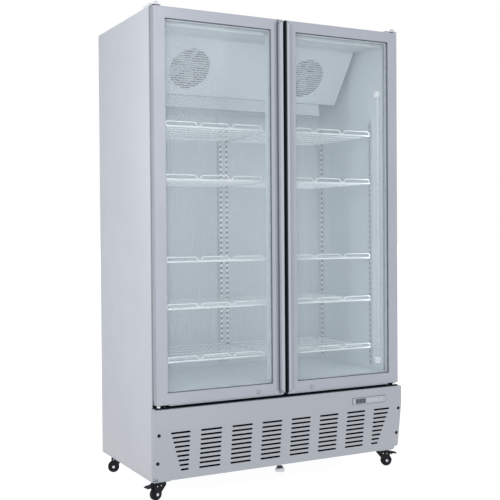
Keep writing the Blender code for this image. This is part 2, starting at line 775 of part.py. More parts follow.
def build_compressor():
    x, y, z = 0.21, 0.05, TRAY_BOTTOM + 0.0034
    bm = bmesh.new()
    add_box(bm, (x - 0.10, y - 0.07, z), (x + 0.10, y + 0.07, z + 0.005))
    compressor = make("compressor", bm, "copper_black")
    shell = bmesh.new()
    profile = [(0.003, 0.060), (0.030, 0.076), (0.045, 0.080), (0.145, 0.080)]
    profile += [(0.175, 0.072), (0.193, 0.048), (0.199, 0.018)]
    add_turned(shell, (x, y, z), (0, 0, 1), profile, 28)
    combine(compressor, "UNION", shell)
    box = bmesh.new()
    add_box(box, (x + 0.06, y - 0.03, z + 0.06), (x + 0.105, y + 0.03, z + 0.12))
    combine(compressor, "UNION", box)


# ---- castors and centre foot -----------------------------------------------------------
def caster_frame(x, y, heading):
    """Puts castor coordinates (along the trail, across, up) in place on the cabinet."""
    return Matrix.Translation((x, y, 0)) @ Matrix.Rotation(math.radians(heading), 4, "Z")


def build_caster(name, x, y, heading, brake):
    place = caster_frame(x, y, heading)
    crown, raceway = 0.0660, TRAY_BOTTOM - 0.0035 - GAP
    inner, outer = 0.0112, 0.0137
    swivel = (x, y, crown)

    bm = bmesh.new()
    add_box(bm, (-0.024, -outer, crown), (0.026, outer, crown + 0.004))
    legs = bmesh.new()
    ear = [(0.034, 0.0680), (0.034, 0.0560)] if brake else [(0.028, 0.0640)]
    leg = [(-0.024, 0.0695), (0.026, 0.0695)] + ear
    leg += [(0.0265, 0.0200), (0.0180, 0.0165), (0.0095, 0.0200), (-0.024, 0.0580)]
    for side in (-1, 1):
        a, b = mirrored(side, inner, outer)
        add_prism(legs, leg, "Y", a, b)
    top = bmesh.new()
    profile = [(0, 0.0185), (0.0045, 0.0185), (raceway - crown - 0.003, 0.0160)]
    add_turned(top, (0, 0, crown + 0.003), (0, 0, 1), profile)
    for part in (bm, legs, top):
        bmesh.ops.transform(part, matrix=place, verts=part.verts)
    fork = make(f"caster_{name}_fork", bm, "castor_black", swivel)
    combine(fork, "UNION", legs)
    combine(fork, "UNION", top)

    wheel = bmesh.new()
    half = 0.0105
    profile = [(-half, 0.010), (-half * 0.9, 0.0215), (-half * 0.62, WHEEL_RADIUS)]
    profile += [(half * 0.62, WHEEL_RADIUS), (half * 0.9, 0.0215), (half, 0.010)]
    add_turned(wheel, (CASTER_TRAIL, 0, WHEEL_RADIUS), (0, 1, 0), profile, 24)
    bmesh.ops.transform(wheel, matrix=place, verts=wheel.verts)
    hub = place @ Vector((CASTER_TRAIL, 0, WHEEL_RADIUS))
    make(f"caster_{name}_wheel", wheel, "tread_rubber", hub)

    if brake:
        pedal = bmesh.new()
        outline = [(0.0260, 0.0575), (0.0335, 0.0565), (0.0385, 0.0562), (0.0425, 0.0500)]
        outline += [(0.0465, 0.0560), (0.0640, 0.0545), (0.0660, 0.0570), (0.0630, 0.0600)]
        outline += [(0.0460, 0.0635), (0.0335, 0.0660), (0.0270, 0.0650)]
        add_prism(pedal, outline, "Y", -inner + 0.0005, inner - 0.0005)
        bmesh.ops.transform(pedal, matrix=place, verts=pedal.verts)
        pivot = place @ Vector(BRAKE_PIVOT)
        obj = make(f"caster_{name}_brake", pedal, "castor_black", pivot)
        pad = bmesh.new()
        outline = [(0.0475, 0.0565), (0.0635, 0.0550), (0.0655, 0.0570), (0.0625, 0.0595)]
        outline += [(0.0475, 0.0625)]
        add_prism(pad, outline, "Y", -0.0155, 0.0155)
        bmesh.ops.transform(pad, matrix=place, verts=pad.verts)
        combine(obj, "UNION", pad)


def build_casters():
    build_caster("front_left", -CASTER_X, CASTER_FRONT, 192, True)
    build_caster("front_right", CASTER_X, CASTER_FRONT, -18, True)
    build_caster("rear_left", -CASTER_X, CASTER_BACK, 160, False)
    build_caster("rear_right", CASTER_X, CASTER_BACK, 24, False)


def foot_middle():
    return 0.0, DOOR_FACE + 0.055


def build_foot():
    """The screw foot under the middle of the front edge, wound up clear of the floor."""
    x, y = foot_middle()
    bm = bmesh.new()
    profile = [(0.0465, 0.0165), (0.0490, 0.0195), (0.0600, 0.0195), (0.0630, 0.0160)]
    profile += [(0.0640, 0.0100), (0.0700, 0.0090), (0.0710, 0.0060), (0.1400, 0.0060)]
    add_turned(bm, (x, y, 0), (0, 0, 1), profile, 20)
    make("centre_foot", bm, "grey_plastic", (x, y, 0.0465))


clear_scene()
build_shell()
build_pilasters()
build_lamps()
build_shelves()
build_cover()
build_evaporator()
build_drip_tray()
build_doors()
build_kick_panel()
build_controller()
build_base_tray()
build_condenser()
build_compressor()
build_casters()
build_foot()
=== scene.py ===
"""Looks of the glass door merchandiser: materials, fine parts, light and camera round the CAD frame.

Everything is in metres in the object's own frame: doors face -Y, Z is up, the floor is at Z = 0.
"""

import json
from math import copysign, cos, hypot, pi, radians, sin

import bmesh
import bpy
from mathutils import Matrix, Vector


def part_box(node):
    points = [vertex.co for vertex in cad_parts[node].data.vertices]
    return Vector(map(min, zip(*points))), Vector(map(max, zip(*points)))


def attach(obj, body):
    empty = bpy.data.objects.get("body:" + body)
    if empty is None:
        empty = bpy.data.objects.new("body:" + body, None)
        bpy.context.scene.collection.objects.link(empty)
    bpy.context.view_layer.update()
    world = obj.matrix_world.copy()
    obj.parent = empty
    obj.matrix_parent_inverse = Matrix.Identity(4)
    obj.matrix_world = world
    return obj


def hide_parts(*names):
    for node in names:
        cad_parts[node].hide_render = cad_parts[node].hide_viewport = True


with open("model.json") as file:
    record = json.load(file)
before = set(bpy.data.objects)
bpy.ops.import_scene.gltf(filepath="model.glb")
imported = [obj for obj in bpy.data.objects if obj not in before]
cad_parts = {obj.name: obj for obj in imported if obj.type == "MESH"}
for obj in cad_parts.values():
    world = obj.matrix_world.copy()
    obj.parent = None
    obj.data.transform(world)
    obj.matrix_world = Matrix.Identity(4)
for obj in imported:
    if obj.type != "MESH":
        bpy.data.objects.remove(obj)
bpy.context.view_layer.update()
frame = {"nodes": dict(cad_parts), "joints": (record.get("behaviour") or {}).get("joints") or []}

# ---- places taken from the CAD frame ----
WALL_LOW, WALL_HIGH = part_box("right_wall")
FLOOR_LOW, FLOOR_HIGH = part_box("cabinet_floor")
ROOF_LOW, ROOF_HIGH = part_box("roof")
PANEL_LOW, PANEL_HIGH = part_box("kick_panel")
DOOR_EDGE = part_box("door_right_frame")[1].x
REAR_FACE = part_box("rear_wall")[1].y
INNER_HALF = WALL_LOW.x

SIDES = (("left", -1), ("right", 1))
ACROSS, FORWARD, UP = Vector((1, 0, 0)), Vector((0, -1, 0)), Vector((0, 0, 1))

SHEET = 0.0012  # thickness of the punched sheets
GLASS_REBATE = 0.0095  # how far the glass unit runs into the door frame
PANE = 0.004
SLOT_PITCH = 0.024  # of the shelf slots
COLUMN_OFFSET = 0.0155  # of the two columns of slots from the strip's middle
SHELF_COUNT = 5
RIM_WIRE, CROSS_WIRE, GUARD_WIRE, FINE_WIRE = 0.0026, 0.0018, 0.0021, 0.0011  # radii
LONG_WIRES, CROSS_BARS = 19, 6  # spaces between the wires of a shelf
NOTCH_HALF = 0.018
GRILLE_RADIUS, GRILLE_ROWS, GRILLE_COLUMNS, GRILLE_SLOT = 0.0965, 18, 44, 0.0058
GRILLE_DROP = 0.009  # of the two discs below the middle of the slanted face
PANEL_BEND, PANEL_SLANT = 0.2964, 0.0289  # height of the bend, and how far it slants back below
SLOT_GROUPS, SLOT_ROWS = 8, 9  # of the lower panel
GROUP_PITCH, GROUP_HALF, ROW_PITCH, TOP_ROW = 0.1406, 0.0463, 0.0193, 0.278
SCREW_HALF, SCREW_HEIGHTS = 0.58, (0.274, 0.16)  # places of the lower panel's screws
PULL_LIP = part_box("door_right_pull")[0].x + 0.0136  # where the pull's lip ends and its scoop starts


def joint(name):
    return next(j for j in frame["joints"] if j["name"] == name)


# ---- materials ----
def shade(colour, factor):
    return tuple(min(1.0, c * factor) for c in colour)


def rgba(colour):
    """A colour with its alpha. A socket stays as it is."""
    return (*colour, 1) if isinstance(colour, tuple) else colour


class Graph:
    """A Principled material and the nodes that feed it."""

    def __init__(self, colour, roughness, more=()):
        self.material = bpy.data.materials.new("look")
        self.material.use_nodes = True
        self.material.diffuse_color = rgba(colour)
        self.tree = self.material.node_tree
        self.shader = self.tree.nodes["Principled BSDF"].inputs
        self.feed(self.shader, {"Base Color": rgba(colour), "Roughness": roughness, **dict(more)})
        self.place = self.node("ShaderNodeTexCoord").outputs["Object"]

    def feed(self, inputs, values):
        """Gives each input a constant, or joins another node's output to it."""
        for key, value in values.items():
            if isinstance(value, bpy.types.NodeSocket):
                self.tree.links.new(value, inputs[key])
            else:
                inputs[key].default_value = value

    def node(self, kind, inputs=(), **settings):
        made = self.tree.nodes.new(kind)
        for key, value in settings.items():
            setattr(made, key, value)
        self.feed(made.inputs, dict(inputs))
        return made

    def maths(self, operation, a, b=0.5):
        return self.node("ShaderNodeMath", {0: a, 1: b}, operation=operation).outputs[0]

    def span(self, value, low, high, to_low, to_high):
        inputs = {"Value": value, "From Min": low, "From Max": high}
        inputs |= {"To Min": to_low, "To Max": to_high}
        return self.node("ShaderNodeMapRange", inputs, clamp=True).outputs["Result"]

    def axis(self, name):
        return self.node("ShaderNodeSeparateXYZ", {0: self.place}).outputs[name]

    def noise(self, scale, stretch=(1, 1, 1), detail=2.0, rough=0.5):
        mapped = self.node("ShaderNodeMapping", {"Vector": self.place, "Scale": stretch})
        inputs = {"Vector": mapped.outputs["Vector"], "Scale": scale, "Detail": detail}
        inputs["Roughness"] = rough
        return self.node("ShaderNodeTexNoise", inputs).outputs["Fac"]

    def patches(self, scale, low=0, high=1, detail=3, stretch=(1, 1, 1)):
        """Soft patches of noise that run from low to high."""
        return self.span(self.noise(scale, stretch, detail), 0.3, 0.7, low, high)

    def waves(self, axis, period):
        """A smooth 0 to 1 wave along an axis."""
        turned = self.maths("MULTIPLY", self.axis(axis), 2 * pi / period)
        return self.maths("MULTIPLY_ADD", self.maths("SINE", turned), 0.5)

    def mix(self, factor, a, b):
        inputs = {0: factor, 6: rgba(a), 7: rgba(b)}
        return self.node("ShaderNodeMix", inputs, data_type="RGBA").outputs[2]

    def tones(self, factor, colour, low, high):
        """The colour, varied between two shades of itself."""
        return self.mix(factor, shade(colour, low), shade(colour, high))

    def outside(self, axis, limit):
        """1 where the distance from the middle along an axis is over the limit."""
        return self.maths("GREATER_THAN", self.maths("ABSOLUTE", self.axis(axis)), limit)

    def finish(self, colour, roughness, *bumps):
        """Feeds the shader, with each bump as its height, distance and strength."""
        self.feed(self.shader, {"Base Color": colour, "Roughness": roughness})
        normal = {}
        for height, distance, strength in bumps:
            inputs = {"Height": height, "Distance": distance, "Strength": strength, **normal}
            normal = {"Normal": self.node("ShaderNodeBump", inputs).outputs["Normal"]}
        self.feed(self.shader, normal)
        return self.material


def glow(colour, strength):
    return {"Emission Color": rgba(colour), "Emission Strength": strength}


def painted(colour, roughness=0.4, dust=0.0, inside=None, returns=None, beyond=None):
    """Stoved paint on sheet: faint orange peel, uneven gloss, a few scuffs, dust low down."""
    g = Graph(colour, roughness)
    base = g.tones(g.patches(2.2), colour, 0.97, 1.03)
    if inside:  # another colour within a distance from the middle
        limit, liner = inside
        base = g.mix(g.outside("X", limit), liner, base)
    if returns:  # another shade beyond a distance from the middle
        # painted shade: the lower panel's side returns are drawn darker than its front
        limit, factor = returns
        base = g.mix(g.outside("X", limit), base, shade(colour, factor))
    if beyond:  # another colour past a place along an axis
        axis, comparison, limit, other = beyond
        base = g.mix(g.maths(comparison, g.axis(axis), limit), base, other)
    scuffs = g.span(g.noise(14, (1, 1, 0.25), 5, 0.65), 0.66, 0.74, 0, 0.1)
    base = g.mix(scuffs, base, shade(colour, 0.72))
    if dust:
        low = g.span(g.axis("Z"), 0.08, 0.45, dust, 0)
        cloud = g.maths("MULTIPLY", low, g.noise(6, detail=4))
        base = g.mix(cloud, base, (0.36, 0.35, 0.33))
    gloss = g.patches(9, roughness - 0.05, roughness + 0.07)
    peel, waviness = g.noise(620, detail=1), g.noise(3.1, detail=1)
    return g.finish(base, gloss, (peel, 0.00002, 1), (waviness, 0.0012, 0.25))


def extruded(colour, edge=None, groove=None, nose=None):
    """Painted door profile: drawing lines along its length, soft wear, and painted shade in the
    pull's scoop, on the frame's side faces and at the closing edge.
    """
    g = Graph(colour, 0.34)
    base = g.tones(g.patches(3.0), colour, 0.97, 1.03)
    handled = g.span(g.noise(22, (1, 1, 0.4), 5, 0.6), 0.62, 0.74, 0, 0.14)
    base = g.mix(handled, base, shade(colour, 0.78))
    if edge:
        # painted shade: the door frame's outer side faces, past this distance from the middle, are
        # drawn darker than its front
        base = g.mix(g.outside("X", edge), base, shade(colour, 0.6))
    if groove:
        # painted shade: the pull's scoop darkens towards the lip, where it is deepest
        start, end = groove
        across = g.maths("ABSOLUTE", g.axis("X"))
        deep = g.span(across, start, end, 1, 0)
        behind = g.maths("GREATER_THAN", across, start - 0.0004)
        painted_scoop_shade = g.maths("MULTIPLY", g.maths("POWER", deep, 1.3), behind)
        base = g.mix(painted_scoop_shade, base, shade(colour, 0.16))
    if nose:
        start, end = nose
        # painted shade: the closing pull's edge fades to black towards the gap between the doors
        base = g.mix(g.span(g.axis("X"), start, end, 1, 0), base, shade(colour, 0.05))
    lines, grain = g.noise(900, (1, 1, 0.01), 1), g.noise(700, detail=1)
    return g.finish(base, g.patches(12, 0.28, 0.42, 4), (lines, 0.00001, 1), (grain, 0.00001, 1))


def ribbed_liner(colour, outside):
    """The back wall's embossed sheet: fine upright ribs with painted shade in their valleys, crossed
    by faint dark lines that are painted reflections of the shelves.
    """
    g = Graph(colour, 0.42)
    ribs = g.waves("X", 0.012)
    base = g.tones(g.patches(2.6), colour, 0.95, 1.03)
    streaks = g.span(g.noise(60, (1, 1, 0.02), 2), 0.35, 0.65, 0, 0.3)
    # painted shade in the valleys between the ribs
    valley = g.span(ribs, 0.0, 0.45, 0.34, 0)
    # painted reflections of the shelves: faint dark lines across the wall every 48 mm
    cross = g.span(g.waves("Z", 0.048), 0.0, 0.12, 0.3, 0)
    lines = g.maths("MAXIMUM", g.maths("MAXIMUM", valley, cross), streaks)
    base = g.mix(lines, base, shade(colour, 0.74))
    base = g.mix(g.maths("GREATER_THAN", g.axis("Y"), REAR_FACE - 0.004), base, outside)
    grain = g.noise(500, detail=1)
    return g.finish(base, g.patches(10, 0.36, 0.5), (ribs, 0.001, 1), (grain, 0.00002, 1))


def galvanised(colour):
    """Zinc-plated strip: large soft spangle and a dull sheen."""
    g = Graph(colour, 0.42, {"Metallic": 0.55})
    cells = g.node("ShaderNodeTexVoronoi", {"Vector": g.place, "Scale": 160})
    value = g.node("ShaderNodeSeparateColor", {0: cells.outputs["Color"]}).outputs[0]
    base, gloss = g.tones(value, colour, 0.93, 1.05), g.span(value, 0, 1, 0.34, 0.5)
    return g.finish(base, gloss, (g.noise(800, detail=1), 0.00001, 1))


def brushed(colour, stretch, roughness=0.3):
    """Bright metal with its grain along one direction."""
    g = Graph(colour, roughness, {"Metallic": 1.0})
    grain = g.noise(900, stretch, 2)
    base = g.tones(g.span(grain, 0.3, 0.7, 0, 1), colour, 0.86, 1.08)
    gloss = g.patches(40, roughness - 0.08, roughness + 0.12, 3, stretch)
    return g.finish(base, gloss, (grain, 0.00002, 1))


def finned(colour):
    """Heat exchanger: thin pressed fins close together, with painted shade in the gaps between them.
    """
    g = Graph(colour, 0.45, {"Metallic": 0.8})
    fins = g.waves("X", 0.0042)
    # painted shade: the gaps between the fins are drawn almost black
    base = g.mix(g.span(fins, 0.0, 0.45, 1, 0), colour, shade(colour, 0.12))
    return g.finish(base, g.patches(60, 0.38, 0.6), (fins, 0.0015, 1))


def moulded(colour, roughness=0.5, grain=1400, depth=0.00004, worn=0.0, specular=0.5, lit=0.0):
    """Moulded plastic or rubber: fine grain, uneven gloss, paler where it is rubbed."""
    # lit gives the moulding a faint glow: painted light
    g = Graph(colour, roughness, {"Specular IOR Level": specular, **glow((1, 1, 1), lit)})
    base = g.tones(g.patches(30, detail=4), colour, 0.88, 1.1)
    if worn:
        rubbed = g.span(g.noise(70, detail=5, rough=0.7), 0.55, 0.75, 0, worn)
        base = g.mix(rubbed, base, (0.16, 0.16, 0.17))
    gloss = g.patches(45, roughness - 0.08, roughness + 0.1)
    return g.finish(base, gloss, (g.noise(grain, detail=2), depth, 1))


def coated_wire(colour):
    """Plastic-dipped wire: glossy, with slow swells where the dip ran."""
    g = Graph(colour, 0.28)
    runs = g.noise(45, (0.4, 1, 1), 3)
    base = g.tones(g.span(runs, 0.3, 0.7, 0, 1), colour, 0.95, 1.03)
    return g.finish(base, g.patches(60, 0.2, 0.36, 2), (runs, 0.0002, 1))


def pane_glass(tint, alpha):
    """Float glass as a faintly tinted film, with the smears that cleaning leaves."""
    g = Graph(tint, 0.03, {"Alpha": alpha, "IOR": 1.5})
    smear = g.noise(5, (1, 1, 0.35), 4, 0.6)
    base = g.mix(g.span(smear, 0.4, 0.7, 0, 1), tint, shade(tint, 0.96))
    return g.finish(base, g.span(smear, 0.4, 0.75, 0.02, 0.1))


def lamp_lens(colour):
    """Milky lamp cover, lit faintly from behind, with its light points as soft spots."""
    g = Graph(colour, 0.22, glow((0.9, 0.97, 1.0), 0.01))
    spots = g.span(g.waves("Z", 0.03), 0.6, 1.0, 0, 1)
    return g.finish(g.tones(spots, colour, 0.94, 1.06), 0.22, (g.waves("X", 0.0022), 0.0002, 1))


def dark_window():
    """Smoked display window: dark, glossy, with slight dust."""
    smoke = (0.045, 0.05, 0.062)
    g = Graph(smoke, 0.12)
    specks = g.span(g.noise(400, detail=3), 0.68, 0.75, 0, 0.2)
    return g.finish(g.mix(specks, smoke, (0.2, 0.2, 0.2)), g.patches(50, 0.08, 0.2, 2))


CABINET = (0.332, 0.354, 0.395)
LINER = (0.61, 0.678, 0.722)
FRAME = (0.312, 0.332, 0.382)
PANEL = (0.31, 0.331, 0.373)
# span of the pull's scoop that is painted darker, as shade deepening towards the lip
GROOVE = (PULL_LIP + 0.0004, PULL_LIP + 0.0175)
NOSE = (PULL_LIP - 0.0128, PULL_LIP - 0.0085)  # the closing pull's edge fades to black here: painted shade of the gap between the doors, over dark rubber
UNDER_ROOF = ("Z", "LESS_THAN", ROOF_LOW.z + 0.0005, shade(LINER, 0.95))
UNDER_FLOOR = ("Z", "LESS_THAN", FLOOR_HIGH.z - 0.0005, CABINET)

LOOKS = {
    "cabinet": painted(CABINET, 0.36, 0.25, inside=(INNER_HALF + 0.001, LINER)),
    "roof": painted(CABINET, 0.38),
    "ceiling": painted(CABINET, 0.38, beyond=UNDER_ROOF),
    "liner": painted(LINER, 0.42),
    "floor": painted(LINER, 0.42, beyond=UNDER_FLOOR),
    "ribbed": ribbed_liner(LINER, shade(CABINET, 1.05)),
    "cover": painted(shade(LINER, 0.97), 0.4),
    "tray": painted(shade(LINER, 0.82), 0.45),
    "hinge": painted((0.47, 0.49, 0.53), 0.35),
    "frame": extruded(FRAME, edge=DOOR_EDGE - 0.0014),
    # painted light: the pulls are drawn lighter than the frame, the closing one most, as they catch
    # more light
    "pull": extruded(shade(FRAME, 1.1), groove=GROOVE),
    "closing_pull": extruded(shade(FRAME, 1.14), nose=NOSE),
    "panel": painted(PANEL, 0.36, 0.2, returns=(PANEL_HIGH.x - 0.0016, 0.8)),
    "plate": painted(shade(PANEL, 1.06), 0.3),
    "keys": painted(shade(PANEL, 1.3), 0.3),
    "glass": pane_glass((0.62, 0.7, 0.77), 0.085),
    "gasket": moulded((0.022, 0.029, 0.04), 0.65, specular=0.1),
    "wire": coated_wire((0.9, 0.95, 0.97)),
    "zinc": galvanised((0.5, 0.54, 0.58)),
    "steel": brushed((0.62, 0.63, 0.65), (1, 1, 0.05)),
    "barrel": brushed((0.4, 0.41, 0.43), (1, 1, 0.05), 0.35),
    "fins": finned((0.72, 0.73, 0.75)),
    "coil": finned((0.2, 0.21, 0.23)),
    "spacer": brushed((0.84, 0.87, 0.9), (0.05, 1, 0.05), 0.4),
    "copper": brushed((0.72, 0.36, 0.24), (1, 1, 1), 0.35),
    "enamel": moulded((0.015, 0.015, 0.018), 0.32, 300, 0.0001),
    "black": moulded((0.007, 0.007, 0.01), specular=0.12),
    "bead": moulded((0.085, 0.098, 0.112), 0.6, specular=0.2),
    "strip": moulded((0.075, 0.092, 0.112), 0.65, specular=0.1),
    # painted shade: flat black that stands for the darkness seen through slots
    "shadow_black": moulded((0.003, 0.003, 0.006), 0.95, 350, 0.0004, specular=0.0),
    "grey": moulded((0.58, 0.6, 0.63), 0.42),
    "fan": moulded((0.46, 0.5, 0.54), 0.42),
    "castor": moulded((0.007, 0.007, 0.009), 0.42, 500, 0.00006, 0.06, 0.15),
    "tread": moulded((0.008, 0.008, 0.01), 0.6, 700, 0.0001, 0.12, 0.12),
    "lens": lamp_lens((0.64, 0.7, 0.74)),
    "edging": moulded((0.4, 0.45, 0.48), 0.4),
    # painted highlight: the lamp's moulded end caps glow though they give no light
    "lamp_end": moulded((0.92, 0.94, 0.95), 0.25, lit=0.12),
    "window": dark_window(),
    "segment": moulded((0.16, 0.17, 0.19), 0.4),
}
for look, material in LOOKS.items():
    material.name = f"{look}_look"

SLOTS = {
    "cabinet_paint": ("cabinet", "roof", "ceiling"),
    "liner_paint": ("liner", "floor", "ribbed", "cover", "tray"),
    "frame_paint": ("frame", "pull", "closing_pull", "hinge"),
    "panel_paint": ("panel", "plate", "keys"),
    "glass": ("glass",),
    "gasket_rubber": ("gasket", "bead", "strip"),
    "shelf_wire": ("wire",),
    "zinc": ("zinc",),
    "steel": ("steel", "barrel"),
    "aluminium": ("fins", "coil", "spacer"),
    "copper_black": ("copper", "enamel"),
    "black_plastic": ("black", "shadow_black", "window"),
    "grey_plastic": ("grey", "fan", "segment", "edging"),
    "castor_black": ("castor",),
    "tread_rubber": ("tread",),
    "lamp_lens": ("lens", "lamp_end"),
}
SLOT_OF = {look: slot for slot, looks in SLOTS.items() for look in looks}

# The look of a CAD node is the first of these that is found in its name.
NODE_LOOKS = {
    "left_wall": "cabinet",
    "right_wall": "cabinet",
    "roof": "ceiling",
    "cabinet_floor": "floor",
    "rear_wall": "ribbed",
    "centre_mullion": "liner",
    "drip_tray": "tray",
    "kick_panel": "panel",
    "base_tray": "roof",
    "evaporator_coil": "coil",
    "condenser_fan": "grey",
    "condenser": "fins",
    "compressor": "enamel",
    "centre_foot": "grey",
    "evaporator_fan": "fan",
    "_frame": "frame",
    "left_pull": "pull",
    "right_pull": "closing_pull",
    "_lock": "barrel",
    "hinge_top": "hinge",
    "hinge_bottom": "black",
    "_fork": "castor",
    "_brake": "castor",
    "_wheel": "tread",
}


def dress_nodes():
    """Gives each CAD node that stays on show its material, with its edges shaded crisply."""
    for name, obj in frame["nodes"].items():
        look = next((v for k, v in NODE_LOOKS.items() if k in name), None)
        if look:
            obj.data.materials.clear()
            obj.data.materials.append(LOOKS[look])
            round_off(obj)


def round_off(obj, angle=32):
    for polygon in obj.data.polygons:
        polygon.use_smooth = True
    obj.data.set_sharp_from_angle(angle=radians(angle))


# ---- mesh helpers ----
def add_loft(bm, rings, closed=False):
    loops = [[bm.verts.new(p) for p in ring] for ring in rings]
    count = len(loops[0])
    pairs = list(zip(loops, loops[1:]))
    if closed:
        pairs.append((loops[-1], loops[0]))
    else:
        bm.faces.new(loops[0][::-1])
        bm.faces.new(loops[-1])
    for a, b in pairs:
        for i in range(count):
            j = (i + 1) % count
            bm.faces.new((a[i], a[j], b[j], b[i]))


def add_box(bm, low, high):
    """A box between two opposite corners, whichever way round they are given."""
    (x0, x1), (y0, y1), (z0, z1) = (sorted(pair) for pair in zip(low, high))
    ring = [(x0, y0), (x1, y0), (x1, y1), (x0, y1)]
    add_loft(bm, [[(x, y, z) for x, y in ring] for z in (z0, z1)])


def add_prism(bm, outline, axis, start, end):
    """An outline drawn square to an axis, run between two places along it."""

    def at(u, v, w):
        return {"X": (w, u, v), "Y": (u, w, v), "Z": (u, v, w)}[axis]

    add_loft(bm, [[at(u, v, w) for u, v in outline] for w in sorted((start, end))])


def square_to(direction):
    axis = Vector(direction).normalized()
    helper = UP if abs(axis.z) < 0.9 else ACROSS
    side = axis.cross(helper).normalized()
    return axis, side, axis.cross(side)


def circle(centre, u, v, radius, count):
    """Points round a centre, in the plane of two unit vectors."""
    turns = [2 * pi * i / count for i in range(count)]
    return [centre + (u * cos(a) + v * sin(a)) * radius for a in turns]


def add_turned(bm, start, direction, profile, sides=20):
    """A profile of (distance along, radius) turned about a line."""
    axis, side, up = square_to(direction)
    start = Vector(start)
    add_loft(bm, [circle(start + axis * along, side, up, radius, sides) for along, radius in profile])


def add_wire(bm, path, radius, sides=8, closed=False):
    """A round wire along a path, mitred at its bends."""
    points = [Vector(p) for p in path]
    count = len(points)
    rings = []
    for i, point in enumerate(points):
        before = points[i - 1] if i or closed else None
        after = points[(i + 1) % count] if i < count - 1 or closed else None
        incoming = (point - before).normalized() if before else (after - point).normalized()
        outgoing = (after - point).normalized() if after else incoming
        axis = (incoming + outgoing).normalized()
        side = axis.cross(UP)
        side = side.normalized() if side.length > 0.05 else ACROSS
        up = axis.cross(side).normalized()
        stretch = min(1.6, 1 / max(0.3, incoming.dot(axis)))
        bend = outgoing - incoming
        lean = bend.normalized() if bend.length > 1e-6 else Vector()
        ring = []
        for k in range(sides):
            a = 2 * pi * (k + 0.5) / sides
            out = side * cos(a) + up * sin(a)
            out += lean * out.dot(lean) * (stretch - 1)
            ring.append(point + out * radius)
        rings.append(ring)
    add_loft(bm, rings, closed)


def add_frame(bm, low, high, profile):
    """A profile of (inward, Y) run round the front of a box, mitred."""
    corners = ((low.x, low.z, 1, 1), (high.x, low.z, -1, 1))
    corners += ((high.x, high.z, -1, -1), (low.x, high.z, 1, -1))
    rings = [[(x + s * sx, y, z + s * sz) for s, y in profile] for x, z, sx, sz in corners]
    add_loft(bm, rings, closed=True)


def breaks(low, high, middles, half):
    """The ends of a punched sheet with the edges of its row of openings between them."""
    return [low, *(middle + s * half for middle in middles for s in (-1, 1)), high]


def openings(columns, rows):
    """The cells between such breaks that are open: every other one both ways."""
    return {(2 * i + 1, 2 * j + 1) for i in range(columns) for j in range(rows)}


def add_punched(bm, place, u_breaks, v_breaks, holes, depth):
    """A sheet with holes: holes is the set of (column, row) cells that are left open."""
    columns, rows = len(u_breaks) - 1, len(v_breaks) - 1
    verts = {}

    def vert(i, j, k):
        if (i, j, k) not in verts:
            verts[i, j, k] = bm.verts.new(place(u_breaks[i], v_breaks[j], k * depth))
        return verts[i, j, k]

    def solid(i, j):
        return 0 <= i < columns and 0 <= j < rows and (i, j) not in holes

    for i in range(columns):
        for j in range(rows):
            if not solid(i, j):
                continue
            cell = ((i, j), (i + 1, j), (i + 1, j + 1), (i, j + 1))
            bm.faces.new([vert(*c, 0) for c in cell])
            bm.faces.new([vert(*c, 1) for c in reversed(cell)])
            beyond = ((i, j - 1), (i + 1, j), (i, j + 1), (i - 1, j))
            for k, neighbour in enumerate(beyond):
                if not solid(*neighbour):
                    a, b = cell[k], cell[(k + 1) % 4]
                    bm.faces.new((vert(*b, 0), vert(*a, 0), vert(*a, 1), vert(*b, 1)))


def add_screw(bm, centre, outward, radius, proud):
    """A domed head with a cross recess, standing on a face."""
    axis, side, up = square_to(outward)
    centre = Vector(centre)
    dome = [(0, radius), (proud * 0.35, radius * 0.98), (proud * 0.8, radius * 0.72)]
    dome += [(proud, radius * 0.42), (proud * 0.45, radius * 0.12)]
    add_turned(bm, centre, axis, dome, 16)
    for a, b in ((side, up), (up, side)):
        corners = []
        for s, t in ((-1, -1), (1, -1), (1, 1), (-1, 1)):
            corners.append(centre + a * s * radius * 0.46 + b * t * radius * 0.09)
        top = axis * proud * 1.02
        add_loft(bm, [[c + top * 0.9 for c in corners], [c + top for c in corners]])


def show(name, data):
    obj = bpy.data.objects.new(name, data)
    bpy.context.scene.collection.objects.link(obj)
    return obj


def show_mesh(name, bm, material):
    mesh = bpy.data.meshes.new(name)
    bm.to_mesh(mesh)
    bm.free()
    mesh.materials.append(material)
    return show(name, mesh)


def piece(name, bm, look, body="cabinet", bevel=0.0, segments=2, replaces=()):
    """Makes an object of the mesh, gives it its look and lets it ride on a CAD body."""
    bmesh.ops.recalc_face_normals(bm, faces=bm.faces)
    obj = show_mesh(name, bm, LOOKS[look])
    round_off(obj)
    if bevel:
        modifier = obj.modifiers.new("Edges", "BEVEL")
        modifier.width = bevel
        modifier.segments = segments
        modifier.limit_method = "ANGLE"
        modifier.harden_normals = True
    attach(obj, body)
    if replaces:
        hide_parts(*replaces)


def gather(name, look, add, shapes, body="cabinet", **settings):
    """A piece of shapes of one kind: each holds what the add function takes after the mesh."""
    bm = bmesh.new()
    for shape in shapes:
        add(bm, *shape)
    piece(name, bm, look, body, **settings)


